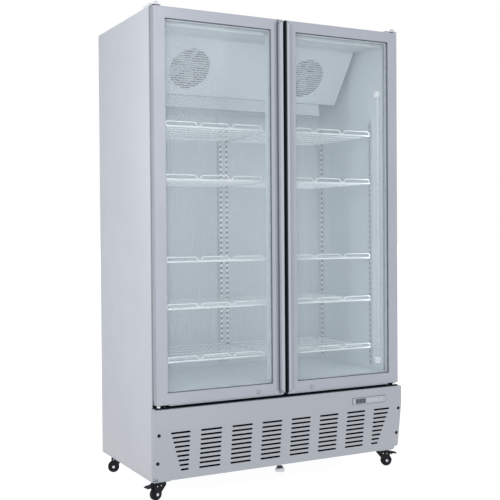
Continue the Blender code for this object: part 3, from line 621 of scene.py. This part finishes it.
# ---- shelf supports and lamps ----
def build_strip(node, columns, normal, half=0.0048, tall=0.0052):
    """A channel with square slots, in place of the plain strip, with painted shade behind the slots
    and painted highlights on the webs between them.
    """
    low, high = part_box(node)
    along_y = bool(normal[0])
    a0, a1 = (low.y, high.y) if along_y else (low.x, high.x)
    depth = (high - low).x if along_y else (high - low).y
    face = {(1, 0): high.x, (-1, 0): low.x, (0, -1): low.y, (0, 1): high.y}[normal]

    def place(u, v, w):
        if along_y:
            return (face - normal[0] * w, u, v)
        return (u, face - normal[1] * w, v)

    def block(u0, u1, v0, v1, w0, w1):
        return place(u0, v0, w0), place(u1, v1, w1)

    middle = (a0 + a1) / 2
    centres = [middle] if columns == 1 else [middle - COLUMN_OFFSET, middle + COLUMN_OFFSET]
    count = int((high.z - low.z) / SLOT_PITCH)
    levels = [low.z + SLOT_PITCH * (i + 0.5) for i in range(count)]
    u_breaks, v_breaks = breaks(a0, a1, centres, half), breaks(low.z, high.z, levels, tall)
    channel = bmesh.new()
    add_punched(channel, place, u_breaks, v_breaks, openings(columns, count), SHEET)
    for u0, u1 in ((a0, a0 + SHEET), (a1 - SHEET, a1)):
        add_box(channel, *block(u0, u1, low.z, high.z, SHEET, depth))
    piece(f"{node}_channel", channel, "zinc", replaces=(node,))

    # painted shadow: a black sheet inside the channel, seen through its slots
    shadow = block(a0 + 0.0014, a1 - 0.0014, low.z + 0.001, high.z - 0.001, 0.002, 0.0026)
    gather(f"{node}_shadow", "shadow_black", add_box, [shadow])

    # painted highlights: bright patches on the webs of the sheet between the slots
    highlit_rungs = []
    for centre in centres:
        for z in levels[:-1]:
            v0, v1 = z + tall + 0.0008, z + SLOT_PITCH - tall - 0.0008
            highlit_rungs.append(block(centre - half, centre + half, v0, v1, -0.0005, 0.0006))
    gather(f"{node}_rungs", "wire", add_box, highlit_rungs)


def build_strips():
    build_strip("pilaster_rear_centre", 2, (0, -1))
    build_strip("pilaster_front_centre", 2, (0, 1))
    for name, side in SIDES:
        build_strip(f"pilaster_front_{name}", 1, (-side, 0), 0.003, 0.009)
        build_strip(f"pilaster_rear_{name}", 1, (-side, 0))
    low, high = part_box("pilaster_rear_centre")
    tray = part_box("drip_tray")[0].z
    cap = ((low.x - 0.004, low.y + 0.001, high.z + 0.001), (high.x + 0.004, high.y, tray - 0.001))
    gather("pilaster_rear_cap", "cover", add_box, [cap], bevel=0.0006)


def build_clips(heights):
    """Bent tabs that hook into the slots under each shelf corner."""
    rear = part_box("pilaster_rear_centre")[0].y
    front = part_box("pilaster_front_centre")[1].y
    thick, seat, drop = 0.0016, 0.007, 0.022
    for index, z in enumerate(heights):
        tabs = []
        for name, side in SIDES:
            for end in ("front", "rear"):
                low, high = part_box(f"pilaster_{end}_{name}")
                middle = (low.y + high.y) / 2
                y0, y1 = middle - 0.006, middle + 0.006
                wall = side * min(abs(low.x), abs(high.x))
                inward = wall - side * 0.034
                tabs.append(((inward, y0, z - seat), (wall, y1, z - 0.0054)))
                tabs.append(((wall - side * thick, y0, z - drop), (wall, y1, z - seat)))
                tabs.append(((inward, y0, z - 0.0056), (inward - side * thick, y1, z + 0.003)))
            for y, reach in ((rear, -0.022), (front, 0.016)):
                x, plate = side * 0.01, y + copysign(thick, reach)
                tabs.append(((x, y, z - seat), (side * 0.036, y + reach, z - 0.0054)))
                tabs.append(((x, y, z - drop), (side * 0.018, plate, z - seat)))
        gather(f"shelf_clips_{index + 1}", "zinc", add_box, tabs)


def build_lamp(name, side):
    """A slim lamp tube in its clip channel, with moulded ends."""
    node = f"led_lamp_{name}"
    low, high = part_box(node)
    wall = side * max(abs(low.x), abs(high.x))
    y, half, end = (low.y + high.y) / 2, 0.008, 0.026
    base, reach = 0.0035, 0.0125
    outline = []
    for i in range(11):
        a = pi * i / 10
        across = base + (reach - base) * sin(a)
        outline.append((wall - side * across, y - half * cos(a)))
    tube = (outline, "Z", low.z + end, high.z - end)
    gather(f"{node}_lens", "lens", add_prism, [tube], replaces=(node,))
    y0, y1 = y - half - 0.0012, y + half + 0.0012
    back = ((wall - side * base, y0, low.z + 0.004), (wall, y1, high.z - 0.004))
    gather(f"{node}_channel", "grey", add_box, [back], bevel=0.0008)
    front = wall - side * (reach + 0.006)
    caps, screws = [], []
    for z in (low.z, high.z - end):
        caps.append(((front, y0 - 0.0022, z), (wall, y1 + 0.0022, z + end)))
        screws.append(((front, y, z + end / 2), (-side, 0, 0), 0.003, 0.0012))
    # the ends glow faintly: painted highlight
    gather(f"{node}_ends", "lamp_end", add_box, caps, bevel=0.004, segments=3)
    gather(f"{node}_screws", "steel", add_screw, screws)


# ---- shelves ----
def guard_path(x0, x1, y, z, top):
    """The front guard wire, dipping to the front wire in two notches."""
    path = [(x0, z), (x0 + 0.0015, top - 0.004), (x0 + 0.006, top)]
    for part in (1, 2):
        middle = x0 + (x1 - x0) * part / 3
        start, end = middle - NOTCH_HALF, middle + NOTCH_HALF
        path += [(start - 0.002, top), (start + 0.003, top - 0.003)]
        path += [(middle - 0.003, z + 0.001), (middle + 0.003, z + 0.001)]
        path += [(end - 0.003, top - 0.003), (end + 0.002, top)]
    path += [(x1 - 0.006, top), (x1 - 0.0015, top - 0.004), (x1, z)]
    return [(x, y, height) for x, height in path]


def build_shelf(node):
    """A welded wire shelf: rim, fine wires front to back, cross bars, raised guard in front."""
    low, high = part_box(node)
    z, corner = low.z + 0.0045, 0.006
    x0, x1 = low.x + RIM_WIRE, high.x - RIM_WIRE
    y0, y1 = low.y + RIM_WIRE, high.y - RIM_WIRE
    rim = []
    for x, y, sx, sy, turn in (
        (x0, y0, 1, 1, 180),
        (x1, y0, -1, 1, 270),
        (x1, y1, -1, -1, 0),
        (x0, y1, 1, -1, 90),
    ):
        for step in (0, 30, 60, 90):
            a = radians(turn + step)
            u, v = corner * (sx + cos(a)), corner * (sy + sin(a))
            rim.append((x + u, y + v, z))
    front = [(x0 + corner, y0, z - 0.0016), (x1 - corner, y0, z - 0.0016)]
    wires = [(rim, RIM_WIRE, 8, True), (front, RIM_WIRE)]
    for i in range(1, LONG_WIRES):
        x = x0 + (x1 - x0) * i / LONG_WIRES
        wires.append(([(x, y0, z + 0.0012), (x, y1, z + 0.0012)], FINE_WIRE, 6))
    for i in range(1, CROSS_BARS):
        y = y0 + (y1 - y0) * i / CROSS_BARS
        wires.append(([(x0, y, z - 0.0014), (x1, y, z - 0.0014)], CROSS_WIRE, 6))
    a, b = (x0 + 0.036, x1 - 0.004) if low.x > 0 else (x0 + 0.004, x1 - 0.036)
    wires.append((guard_path(a, b, y0, z, high.z - GUARD_WIRE), GUARD_WIRE))
    gather(f"{node}_wires", "wire", add_wire, wires, replaces=(node,))
    return z


def build_shelves():
    heights = []
    for index in range(1, SHELF_COUNT + 1):
        for name, _ in SIDES:
            z = build_shelf(f"shelf_{name}_{index}")
        heights.append(z)
    build_clips(heights)


# ---- evaporator housing ----
def cover_face():
    """Top and foot of the housing's slanted face, the way down it, and its outward normal."""
    low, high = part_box("evaporator_cover")
    upright, overhang = 0.0122, 0.0165
    top = Vector((0, low.y, high.z - upright))
    foot = Vector((0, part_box("drip_tray")[0].y - overhang, low.z + SHEET / 2))
    down = (foot - top).normalized()
    return top, foot, down, Vector((0, down.z, -down.y))


def fan_places():
    return [joint(f"evaporator_fan_{name}_spin")["pos_m"][0] for name, _ in SIDES]


def grille_cells(length):
    """Breaks across and down the slanted face, and the cells cut out as slots in two discs."""
    edge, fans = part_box("evaporator_cover")[0].x, fan_places()
    step, pitch = 2 * GRILLE_RADIUS / GRILLE_COLUMNS, 2 * GRILLE_RADIUS / GRILLE_ROWS
    u_breaks = [edge]
    for x in fans:
        u_breaks += [x - GRILLE_RADIUS + step * i for i in range(GRILLE_COLUMNS + 1)]
    u_breaks.append(-edge)
    rows = [(row - (GRILLE_ROWS - 1) / 2) * pitch for row in range(GRILLE_ROWS)]
    holes = set()
    for i, (u0, u1) in enumerate(zip(u_breaks, u_breaks[1:])):
        for j, v in enumerate(rows):
            if any(hypot((u0 + u1) / 2 - x, v) < GRILLE_RADIUS - 0.003 for x in fans):
                holes.add((i, 2 * j + 1))
    middles = [v + GRILLE_DROP for v in rows]
    return u_breaks, breaks(-length / 2, length / 2, middles, GRILLE_SLOT / 2), holes


def build_cover():
    """The evaporator housing's sheet: slanted face with two slotted discs, returns and cheeks."""
    low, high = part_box("evaporator_cover")
    top, foot, down, out = cover_face()
    middle, half = (top + foot) / 2, SHEET / 2
    bm = bmesh.new()

    def place(u, v, w):
        return ACROSS * u + middle + down * v - out * (w - half)

    add_punched(bm, place, *grille_cells((foot - top).length), SHEET)
    add_box(bm, (low.x, top.y - half, top.z), (high.x, top.y + half, high.z))
    add_box(bm, (low.x, foot.y, foot.z - half), (high.x, foot.y + 0.015, foot.z + half))
    rear, upper = high.y, high.z - 0.0004
    cheek = [(top.y, upper), (top.y, top.z), (foot.y, foot.z), (rear, foot.z), (rear, upper)]
    for _, side in SIDES:
        add_prism(bm, cheek, "X", side * (high.x - 0.0016), side * (high.x - 0.0003))
    piece("evaporator_cover_sheet", bm, "cover", replaces=("evaporator_cover",))


def build_guards():
    """Ringed wire guards behind the two slotted discs."""
    top, foot, down, out = cover_face()
    wires = []
    for x in fan_places():
        centre = ACROSS * x + (top + foot) / 2 - out * 0.01
        for radius in (0.022, 0.04, 0.058, 0.076, 0.092):
            wires.append((circle(centre, ACROSS, down, radius, 32), 0.0013, 6, True))
        for spoke in circle(Vector(), ACROSS, down, 1, 12)[1::4]:
            wires.append(([centre + spoke * 0.012, centre + spoke * 0.094], 0.0016, 6))
    gather("evaporator_fan_guards", "zinc", add_wire, wires)


def build_cover_trim():
    """Seals between the housing and the side walls, and the housing's screws."""
    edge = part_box("evaporator_cover")[1].x
    top, foot, down, out = cover_face()
    section = (top + out * 0.0004, foot + out * 0.0004, foot - out * 0.008, top - out * 0.008)
    outline = [(p.y, p.z) for p in section]
    seals = [(outline, "X", side * (edge + 0.0002), side * (edge + 0.0042)) for _, side in SIDES]
    gather("evaporator_cover_seals", "gasket", add_prism, seals)

    screws = []
    for x in fan_places():
        centre = ACROSS * x + (top + foot) / 2
        for spot in circle(centre, ACROSS, down, 0.116, 8)[1::2]:
            screws.append((spot, out, 0.0034, 0.0012))
    for x in (-0.49, -0.245, 0, 0.245, 0.49):
        for point in (top + down * 0.012, foot - down * 0.012):
            screws.append(((x, point.y, point.z), out, 0.003, 0.001))
    gather("evaporator_cover_screws", "barrel", add_screw, screws)


def build_tray_trim():
    """The drip tray's screws, folded lip and drain spout."""
    low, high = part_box("drip_tray")
    y, z = low.y, low.z
    places = [(x, y, z + 0.012) for x in (-0.37, -0.185, 0.037, 0.364)]
    screws = [(place, FORWARD, 0.0034, 0.0014) for place in places]
    gather("drip_tray_screws", "barrel", add_screw, screws)
    outline = [(y - 0.003, z), (y + 0.02, z), (y + 0.02, z + 0.0012), (y - 0.003, z + 0.0035)]
    gather("drip_tray_lip", "cover", add_prism, [(outline, "X", low.x, high.x)], bevel=0.0005)
    centre, profile = (0.3, (low.y + high.y) / 2, z), [(0, 0.012), (0.002, 0.012)]
    profile += [(0.002, 0.008), (0.02, 0.0075)]
    gather("drip_tray_drain", "grey", add_turned, [(centre, -UP, profile)])


# ---- doors ----
def build_glazing(name):
    """Two panes, the spacer between them, and the black bead that holds the unit in."""
    body, node, r = f"door_{name}", f"door_{name}_glass", GLASS_REBATE
    low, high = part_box(node)
    panes = [(low, (high.x, low.y + PANE, high.z)), ((low.x, high.y - PANE, low.z), high)]
    gather(f"{body}_panes", "glass", add_box, panes, body, replaces=(node,))

    y0, y1 = low.y + PANE + 0.0002, high.y - PANE - 0.0002
    profile = [(0.004, y0), (r + 0.0075, y0), (r + 0.0083, (y0 + y1) / 2), (r + 0.0075, y1)]
    profile.append((0.004, y1))
    gather(f"{body}_spacer", "edging", add_frame, [(low, high, profile)], body)

    front = [(r - 0.0004, -0.003), (r + 0.0012, -0.0026), (r + 0.0026, -0.0001)]
    front.append((r - 0.0004, -0.0001))
    back = [(r - 0.0004, 0.0001), (r + 0.003, 0.0001), (r + 0.0022, 0.0032), (r - 0.0004, 0.0036)]
    beads = []
    for y, profile in ((low.y, front), (high.y, back)):
        beads.append((low, high, [(s, y + v) for s, v in profile]))
    gather(f"{body}_beads", "bead", add_frame, beads, body)


def build_seal(name):
    """Magnetic door seal: dart, bellows and magnet pocket, mitred at the corners."""
    node = f"door_{name}_gasket"
    low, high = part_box(node)
    shape = ((0.001, 0), (0.019, 0), (0.0185, 0.16), (0.015, 0.26), (0.0175, 0.42), (0.016, 0.62))
    shape += ((0.016, 0.92), (0.015, 1.0), (0.0045, 1.0), (0.0035, 0.92), (0.0035, 0.62))
    shape += ((0.002, 0.42), (0.005, 0.26), (0.0015, 0.16))
    profile = [(s, low.y + (high.y - low.y) * d) for s, d in shape]
    seal = (low, high, profile)
    gather(f"door_{name}_seal", "gasket", add_frame, [seal], f"door_{name}", replaces=(node,))


def build_door_trim(name, side):
    """Black edge strip on the side that faces the other door, dark rubber drawn black as painted
    shade of the gap, the lock's ring, and the foot.
    """
    body = f"door_{name}"
    low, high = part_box(f"{body}_frame")
    edge, face = min(abs(low.x), abs(high.x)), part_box(f"{body}_pull")[0].y
    # painted shade: the side that faces the other door is drawn black, for the shade in the gap as
    # well as its dark rubber
    start = (side * (edge - 0.001), face + 0.0025, low.z + 0.002)
    end = (side * (edge - 0.0002), high.y - 0.0005, high.z - 0.002)
    gather(f"{body}_edge_strip", "gasket", add_box, [(start, end)], body)

    lock = Vector(joint(f"lock_{name}_turn")["pos_m"])
    profile = ((0.0002, 0.0094), (0.0006, 0.0094), (0.001, 0.009), (0.001, 0.0084))
    profile += ((0.0002, 0.0083),)
    axis, across, up = square_to(FORWARD)
    rings = []
    for out in circle(Vector(), across, up, 1, 28):
        rings.append([lock + axis * d + out * r for d, r in profile])
    gather(f"{body}_lock_ring", "frame", add_loft, [(rings, True)], body)

    start = (side * (edge + 0.004), low.y + 0.0006, low.z - 0.0038)
    end = (side * (INNER_HALF - 0.01), high.y - 0.004, low.z - 0.0001)
    gather(f"{body}_foot", "frame", add_box, [(start, end)], body, bevel=0.0006)


def build_hinge_details(name, side):
    """Screws of both hinge plates, and the bush that the lower pin turns in."""
    low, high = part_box(f"hinge_top_{name}")
    x, top = (low.x + high.x) / 2, ROOF_HIGH.z + 0.013
    screws = [((x, high.y - back, top), UP, 0.0042, 0.0016) for back in (0.018, 0.048)]
    low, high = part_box(f"hinge_bottom_{name}")
    x = low.x + 0.012 if side > 0 else high.x - 0.012
    screws.append(((x, (low.y + high.y) / 2, low.z + 0.003), UP, 0.0036, 0.0014))
    gather(f"hinge_{name}_screws", "spacer", add_screw, screws)
    x, y, _ = joint(f"door_{name}_swing")["pos_m"]
    bush = ((x, y, low.z + 0.0034), UP, [(0, 0.0073), (0.0076, 0.0073)], 24)
    gather(f"hinge_{name}_bush", "spacer", add_turned, [bush])


# ---- front trim ----
def build_dark_gaps():
    """Black strips in the joints round the doors and a black sheet behind the lower panel: painted
    shade of those gaps, over dark trim in the joints.
    """
    front, half = FLOOR_LOW.y, 0.0115
    # painted shade: the mullion's dark cover, made near black for the shade in the gap between the
    # doors
    strip = ((-half, front - 0.0008, FLOOR_LOW.z), (half, front - 0.0001, ROOF_HIGH.z - 0.002))
    gather("mullion_strip", "strip", add_box, [strip])
    half, sill = INNER_HALF + 0.045, PANEL_HIGH.z + 0.0002
    upright = ((-half, front - 0.0008, sill), (half, front - 0.0001, FLOOR_LOW.z + 0.028))
    # painted shade: the flat strip blackens the lower panel's top flange under the doors; the upright
    # one is dark trim drawn black
    flat = ((-half, PANEL_LOW.y + 0.012, sill), (half, front - 0.001, sill + 0.0009))
    gather("sill_strip", "gasket", add_box, [upright, flat])
    # painted shade: a black sheet behind the lower panel, seen through its slots
    start = (-half, front - 0.0026, PANEL_LOW.z + 0.02)
    end = (half, front - 0.0006, PANEL_HIGH.z - 0.004)
    gather("panel_baffle", "shadow_black", add_box, [(start, end)])


def build_throat():
    """Pale break strip round the front of the inside, behind the door seals."""
    half, sill, top = INNER_HALF - 0.0002, FLOOR_HIGH.z + 0.0002, ROOF_LOW.z - 0.0002
    y0, y1 = FLOOR_LOW.y + 0.0004, FLOOR_LOW.y + 0.0054
    header, jamb = 0.017, 0.006
    strips = [((-half, y0, top - header), (half, y1, top))]
    for _, side in SIDES:
        strips.append(((side * half, y0, sill), (side * (half - jamb), y1, top - header)))
    gather("throat_strip", "cover", add_box, strips, bevel=0.0012)


def build_skirt():
    """Folded lower edges of the side sheets, over the edge of the base tray."""
    folds = []
    for _, side in SIDES:
        start = (side * (WALL_HIGH.x + 0.0001), WALL_LOW.y + 0.001, WALL_LOW.z - 0.0036)
        end = (side * (WALL_HIGH.x + 0.0006), WALL_HIGH.y - 0.001, WALL_LOW.z + 0.0016)
        folds.append((start, end))
    gather("side_skirts", "cabinet", add_box, folds)


def panel_y(z):
    """The lower panel's face at a height: upright above the bend, slanting back below it."""
    down = max(0.0, (PANEL_BEND - z) / (PANEL_BEND - PANEL_LOW.z))
    return PANEL_LOW.y + PANEL_SLANT * down


def slot_rows():
    """The ends and the height of each slot of the lower panel: the outer groups taper down."""
    for group in range(SLOT_GROUPS):
        x = (group - (SLOT_GROUPS - 1) / 2) * GROUP_PITCH
        for row in range(SLOT_ROWS):
            start, end = x - GROUP_HALF, x + GROUP_HALF
            taper = 0.01 + 0.0062 * row
            if group == 0:
                start += taper
            if group == SLOT_GROUPS - 1:
                end -= taper
            yield start, end, TOP_ROW - ROW_PITCH * row


def build_slot_edges():
    """Black edging in and round the slots, with round ends: painted shade that makes the slots read
    darker and wider.
    """
    half, rim, proud = 0.0031, 0.0009, 0.0004
    edges = []
    for x0, x1, z in slot_rows():
        rings = []
        for y_off, grow in ((0.0012, 0.0), (-proud, 0.0), (-proud, rim * 0.8), (0.0, rim)):
            ring = []
            for end, x in ((-1, x0 + half), (1, x1 - half)):
                for i in range(7):
                    a = radians(-90 + 30 * i) * end
                    out = half + grow
                    u, v = end * out * cos(a), out * sin(a)
                    ring.append((x + u, panel_y(z + v) + y_off, z + v))
            rings.append(ring)
        edges.append((rings, True))
    gather("panel_slot_edges", "black", add_loft, edges)


def build_panel_screws():
    outward = Vector((0, PANEL_LOW.z - PANEL_BEND, -PANEL_SLANT)).normalized()
    places = [(side * SCREW_HALF, panel_y(z), z) for _, side in SIDES for z in SCREW_HEIGHTS]
    screws = [(place, outward, 0.0074, 0.002) for place in places]
    gather("panel_screws", "black", add_screw, screws)


def build_controller():
    """Controller face: thin dark surround, pale plate, smoked window and soft keys."""
    low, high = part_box("controller")
    z, half = (low.z + high.z) / 2, (high.z - low.z) / 2
    face, panel, rim = low.y, PANEL_LOW.y, 0.0011
    surround = ((low.x, panel - 0.001, low.z), (high.x, panel - 0.0003, high.z))
    gather("controller_surround", "black", add_box, [surround])
    start, end = (low.x + rim, face + 0.0002), (high.x - rim, panel - 0.0009)
    boxes = [((*start, low.z + rim), (*end, high.z - rim))]
    start, end = (low.x + 0.013, panel - 0.001), (high.x - 0.013, panel + 0.03)
    boxes.append(((*start, low.z + 0.004), (*end, high.z - 0.004)))
    plate = {"bevel": 0.0007, "replaces": ("controller",)}
    gather("controller_plate", "plate", add_box, boxes, **plate)
    x0, x1, tall = low.x + 0.0155, low.x + 0.0685, half * 0.72
    window = ((x0, face + 0.0001, z - tall), (x1, face + 0.0012, z + tall))
    gather("controller_window", "window", add_box, [window], bevel=0.0005)
    build_segments(x0 + 0.01, x1 - 0.01, face, z, half * 0.46)
    profile = [(0, 0.0052), (0.0002, 0.005), (0.0003, 0.004)]
    places = [(low.x + 0.088 + i * 0.02, face + 0.0003, z) for i in range(4)]
    gather("controller_keys", "keys", add_turned, [(p, FORWARD, profile) for p in places])


def build_segments(x0, x1, face, z, half):
    """Unlit bars of a two-digit display."""
    width, thick = (x1 - x0) / 2 - 0.004, 0.0012
    bars = []
    for digit in range(2):
        a = x0 + digit * (width + 0.008)
        b = a + width
        for level in (z - half, z, z + half):
            bars.append((a + thick, b - thick, level - thick / 2, level + thick / 2))
        for x in (a, b - thick):
            for s in (-1, 1):
                bars.append((x, x + thick, z + s * thick, z + s * (half - thick)))
    boxes = [((u0, face, v0), (u1, face + 0.0003, v1)) for u0, u1, v0, v1 in bars]
    gather("controller_segments", "segment", add_box, boxes)


# ---- back and top ----
def build_rear_cover():
    """Slotted sheet that closes the back of the machine compartment, and the back's screws."""
    half, y = INNER_HALF - 0.002, WALL_HIGH.y - 0.005
    z0, z1 = PANEL_LOW.z + 0.002, FLOOR_LOW.z - 0.002
    groups, rows = 8, 11
    middles = [-half + 2 * half / groups * (i + 0.5) for i in range(groups)]
    levels = [z0 + 0.0335 + j * 0.022 for j in range(rows)]
    u_breaks, v_breaks = breaks(-half, half, middles, 0.048), breaks(z0, z1, levels, 0.0035)

    def place(u, v, w):
        return (u, y + w, v)

    sheet = (place, u_breaks, v_breaks, openings(groups, rows), SHEET)
    gather("rear_compartment_cover", "roof", add_punched, [sheet])

    screws = []
    for x in (-half + 0.014, 0, half - 0.014):
        for z in (z0 + 0.012, z1 - 0.012):
            screws.append(((x, y + SHEET, z), -FORWARD, 0.0042, 0.0018))
    for x in (-half + 0.02, half - 0.02):
        for z in (0.6, 1.15, 1.7):
            screws.append(((x, REAR_FACE - 0.0018, z), -FORWARD, 0.0042, 0.0017))
    gather("rear_screws", "steel", add_screw, screws)


def build_roof_trim():
    """Folded joint covers where the roof sheet meets the side walls, with their screws."""
    y0, y1 = WALL_LOW.y + 0.112, WALL_HIGH.y - 0.004
    section = ((-0.008, 0), (-0.006, 0.0014), (0.006, 0.0014), (0.008, 0))
    covers, screws = [], []
    for _, side in SIDES:
        x = side * (INNER_HALF - 0.001)
        covers.append(([(x + u, ROOF_HIGH.z + 0.0001 + v) for u, v in section], "Y", y0, y1))
        for y in (y0 + 0.03, (y0 + y1) / 2, y1 - 0.03):
            screws.append(((x, y, ROOF_HIGH.z + 0.0015), UP, 0.0034, 0.0012))
    gather("roof_joint_covers", "roof", add_prism, covers)
    gather("roof_screws", "steel", add_screw, screws)


def build_pipes():
    """Copper lines from the compressor to the condenser, and up to the evaporator."""
    low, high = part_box("compressor")
    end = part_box("condenser")[1]
    x, y, z = (low.x + high.x) / 2, (low.y + high.y) / 2, high.z - 0.03
    hot = [(x - 0.05, y, z), (x - 0.1, y, z + 0.02), (x - 0.16, y - 0.05, z + 0.035)]
    hot += [(x - 0.22, y - 0.14, z + 0.03), (end.x + 0.02, end.y - 0.02, z)]
    hot.append((end.x, end.y - 0.03, z - 0.02))
    cold = [(x + 0.02, y + 0.075, z - 0.08), (x + 0.02, y + 0.1, z - 0.04)]
    cold += [(x - 0.02, y + 0.13, z + 0.04), (x - 0.04, y + 0.15, FLOOR_LOW.z - 0.004)]
    gather("refrigerant_lines", "copper", add_wire, [(hot, 0.004, 10), (cold, 0.005, 10)])


# ---- castors and foot ----
def build_castor_details(name):
    """Axle bolts, rivets of the fork, hub caps and the swivel's raceway."""
    roll, swivel = joint(f"{name}_roll"), joint(f"{name}_swivel")
    hub, axis = Vector(roll["pos_m"]), Vector(roll["axis"]).normalized()
    x, y, z = swivel["pos_m"]
    along = Vector((hub.x - x, hub.y - y, 0)).normalized()
    washer = [(0, 0.0062), (0.0007, 0.0062)]
    nut = [(0.0007, 0.0048), (0.003, 0.0048), (0.0036, 0.004)]
    rivet = [(0, 0.0026), (0.0008, 0.0022), (0.0012, 0.001)]
    cap = [(0.01, 0.015), (0.01065, 0.015), (0.01085, 0.0135), (0.01085, 0.006)]
    race = [(0.0045, 0.0196), (0.007, 0.02), (0.0085, 0.0186)]
    bolts, caps = [], []
    for out in (-axis, axis):
        leg = hub + out * 0.0138
        bolts += [(leg, out, washer), (leg, out, nut, 6)]
        for offset, height in ((-0.018, 0.0585), (0.0, 0.0575)):
            spot = leg + along * offset
            spot.z = height
            bolts.append((spot, out, rivet, 12))
        caps.append((hub, out, cap, 28))
    gather(f"{name}_bolts", "steel", add_turned, bolts, f"{name}_fork")
    gather(f"{name}_caps", "black", add_turned, caps, f"{name}_wheel")
    ring = ((x, y, z - 0.0005), UP, race, 32)
    gather(f"{name}_raceway", "castor", add_turned, [ring], f"{name}_fork")


def build_foot_details():
    """The foot's lock nut, its thread and the rim of its pad."""
    node = "centre_foot"
    low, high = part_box(node)
    x, y, z = (low.x + high.x) / 2, (low.y + high.y) / 2, 0.0715
    thread = []
    while z < high.z - 0.002:
        thread += [(z, 0.0061), (z + 0.0009, 0.0066), (z + 0.0018, 0.0061)]
        z += 0.0019
    nut = [(0, 0.012), (0.0008, 0.0128), (0.0062, 0.0128), (0.007, 0.012)]
    rim = [(0.0002, 0.0172), (0.0022, 0.0199), (0.0042, 0.0199), (0.0044, 0.019)]
    for name, look, height, profile, sides in (
        ("nut", "black", 0.0632, nut, 6),
        ("thread", "steel", 0, thread, 16),
        ("pad", "grey", low.z, rim, 32),
    ):
        turned = ((x, y, height), UP, profile, sides)
        gather(f"{node}_{name}", look, add_turned, [turned], node)


# ---- stage ----
def area_light(name, location, target, size, power, colour=(1, 1, 1)):
    light = bpy.data.lights.new(name, "AREA")
    light.shape = "RECTANGLE"
    light.size, light.size_y = size
    light.energy = power
    light.color = colour
    obj = show(name, light)
    obj.location = location
    aim = Vector(target) - Vector(location)
    obj.rotation_euler = aim.to_track_quat("-Z", "Y").to_euler()
    obj.visible_camera = False


def build_stage():
    """White surroundings and a floor that glows, so that its shadows are faint; the lights."""
    white = Graph((0.14, 0.14, 0.14), 0.7, glow((1, 1, 1), 0.9)).material
    half = 60
    bm = bmesh.new()
    add_box(bm, (-half, -half, -0.02), (half, half, 0))
    floor = show_mesh("studio_floor", bm, white)

    world = bpy.data.worlds.new("studio")
    world.use_nodes = True
    background = world.node_tree.nodes["Background"]
    background.inputs["Color"].default_value = (1, 1, 1, 1)
    background.inputs["Strength"].default_value = 1.0
    bpy.context.scene.world = world
    bpy.context.scene.view_settings.view_transform = "Standard"

    area_light("side", (-1.35, -0.62, 1.3), (-0.6, -0.24, 1.1), (0.45, 1.8), 6.0)
    area_light("front", (0.7, -4.0, 2.4), (-0.1, -0.3, 0.9), (1.6, 1.2), 17)
    area_light("far_left", (-2.7, -2.1, 1.9), (0.3, -0.1, 1.0), (0.14, 0.14), 24)
    for name, side in SIDES:
        power = 0.28 + 0.08 * side
        low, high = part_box(f"led_lamp_{name}")
        middle = (low.z + high.z) / 2
        place = (side * (INNER_HALF - 0.028), low.y - 0.004, middle)
        aim = (-side * 0.1, 0.3, middle)
        area_light(f"cabinet_light_{name}", place, aim, (0.012, 1.2), power, (0.93, 0.99, 1.0))


def build_camera():
    """The camera: in front, to the left, at chest height, almost level."""
    place = (-1.9374, -3.6637, 1.0646)
    yaw, pitch, roll = (radians(v) for v in (27.891, -1.021, -0.405))
    data = bpy.data.cameras.new("camera")
    data.sensor_width = 36
    data.lens = 66.1
    data.clip_end = 200
    turned = Matrix.Rotation(-yaw, 4, "Z") @ Matrix.Rotation(pi / 2 + pitch, 4, "X")
    camera = show("camera", data)
    camera.matrix_world = Matrix.Translation(place) @ turned @ Matrix.Rotation(roll, 4, "Z")
    bpy.context.scene.camera = camera


# ---- the whole ----
dress_nodes()
build_strips()
build_shelves()
for name, side in SIDES:
    build_lamp(name, side)
    build_glazing(name)
    build_seal(name)
    build_door_trim(name, side)
    build_hinge_details(name, side)
build_cover()
build_guards()
build_cover_trim()
build_tray_trim()
build_dark_gaps()
build_throat()
build_skirt()
build_slot_edges()
build_panel_screws()
build_controller()
build_rear_cover()
build_roof_trim()
build_pipes()
for end in ("front", "rear"):
    for name, _ in SIDES:
        build_castor_details(f"caster_{end}_{name}")
build_foot_details()
build_stage()
build_camera()
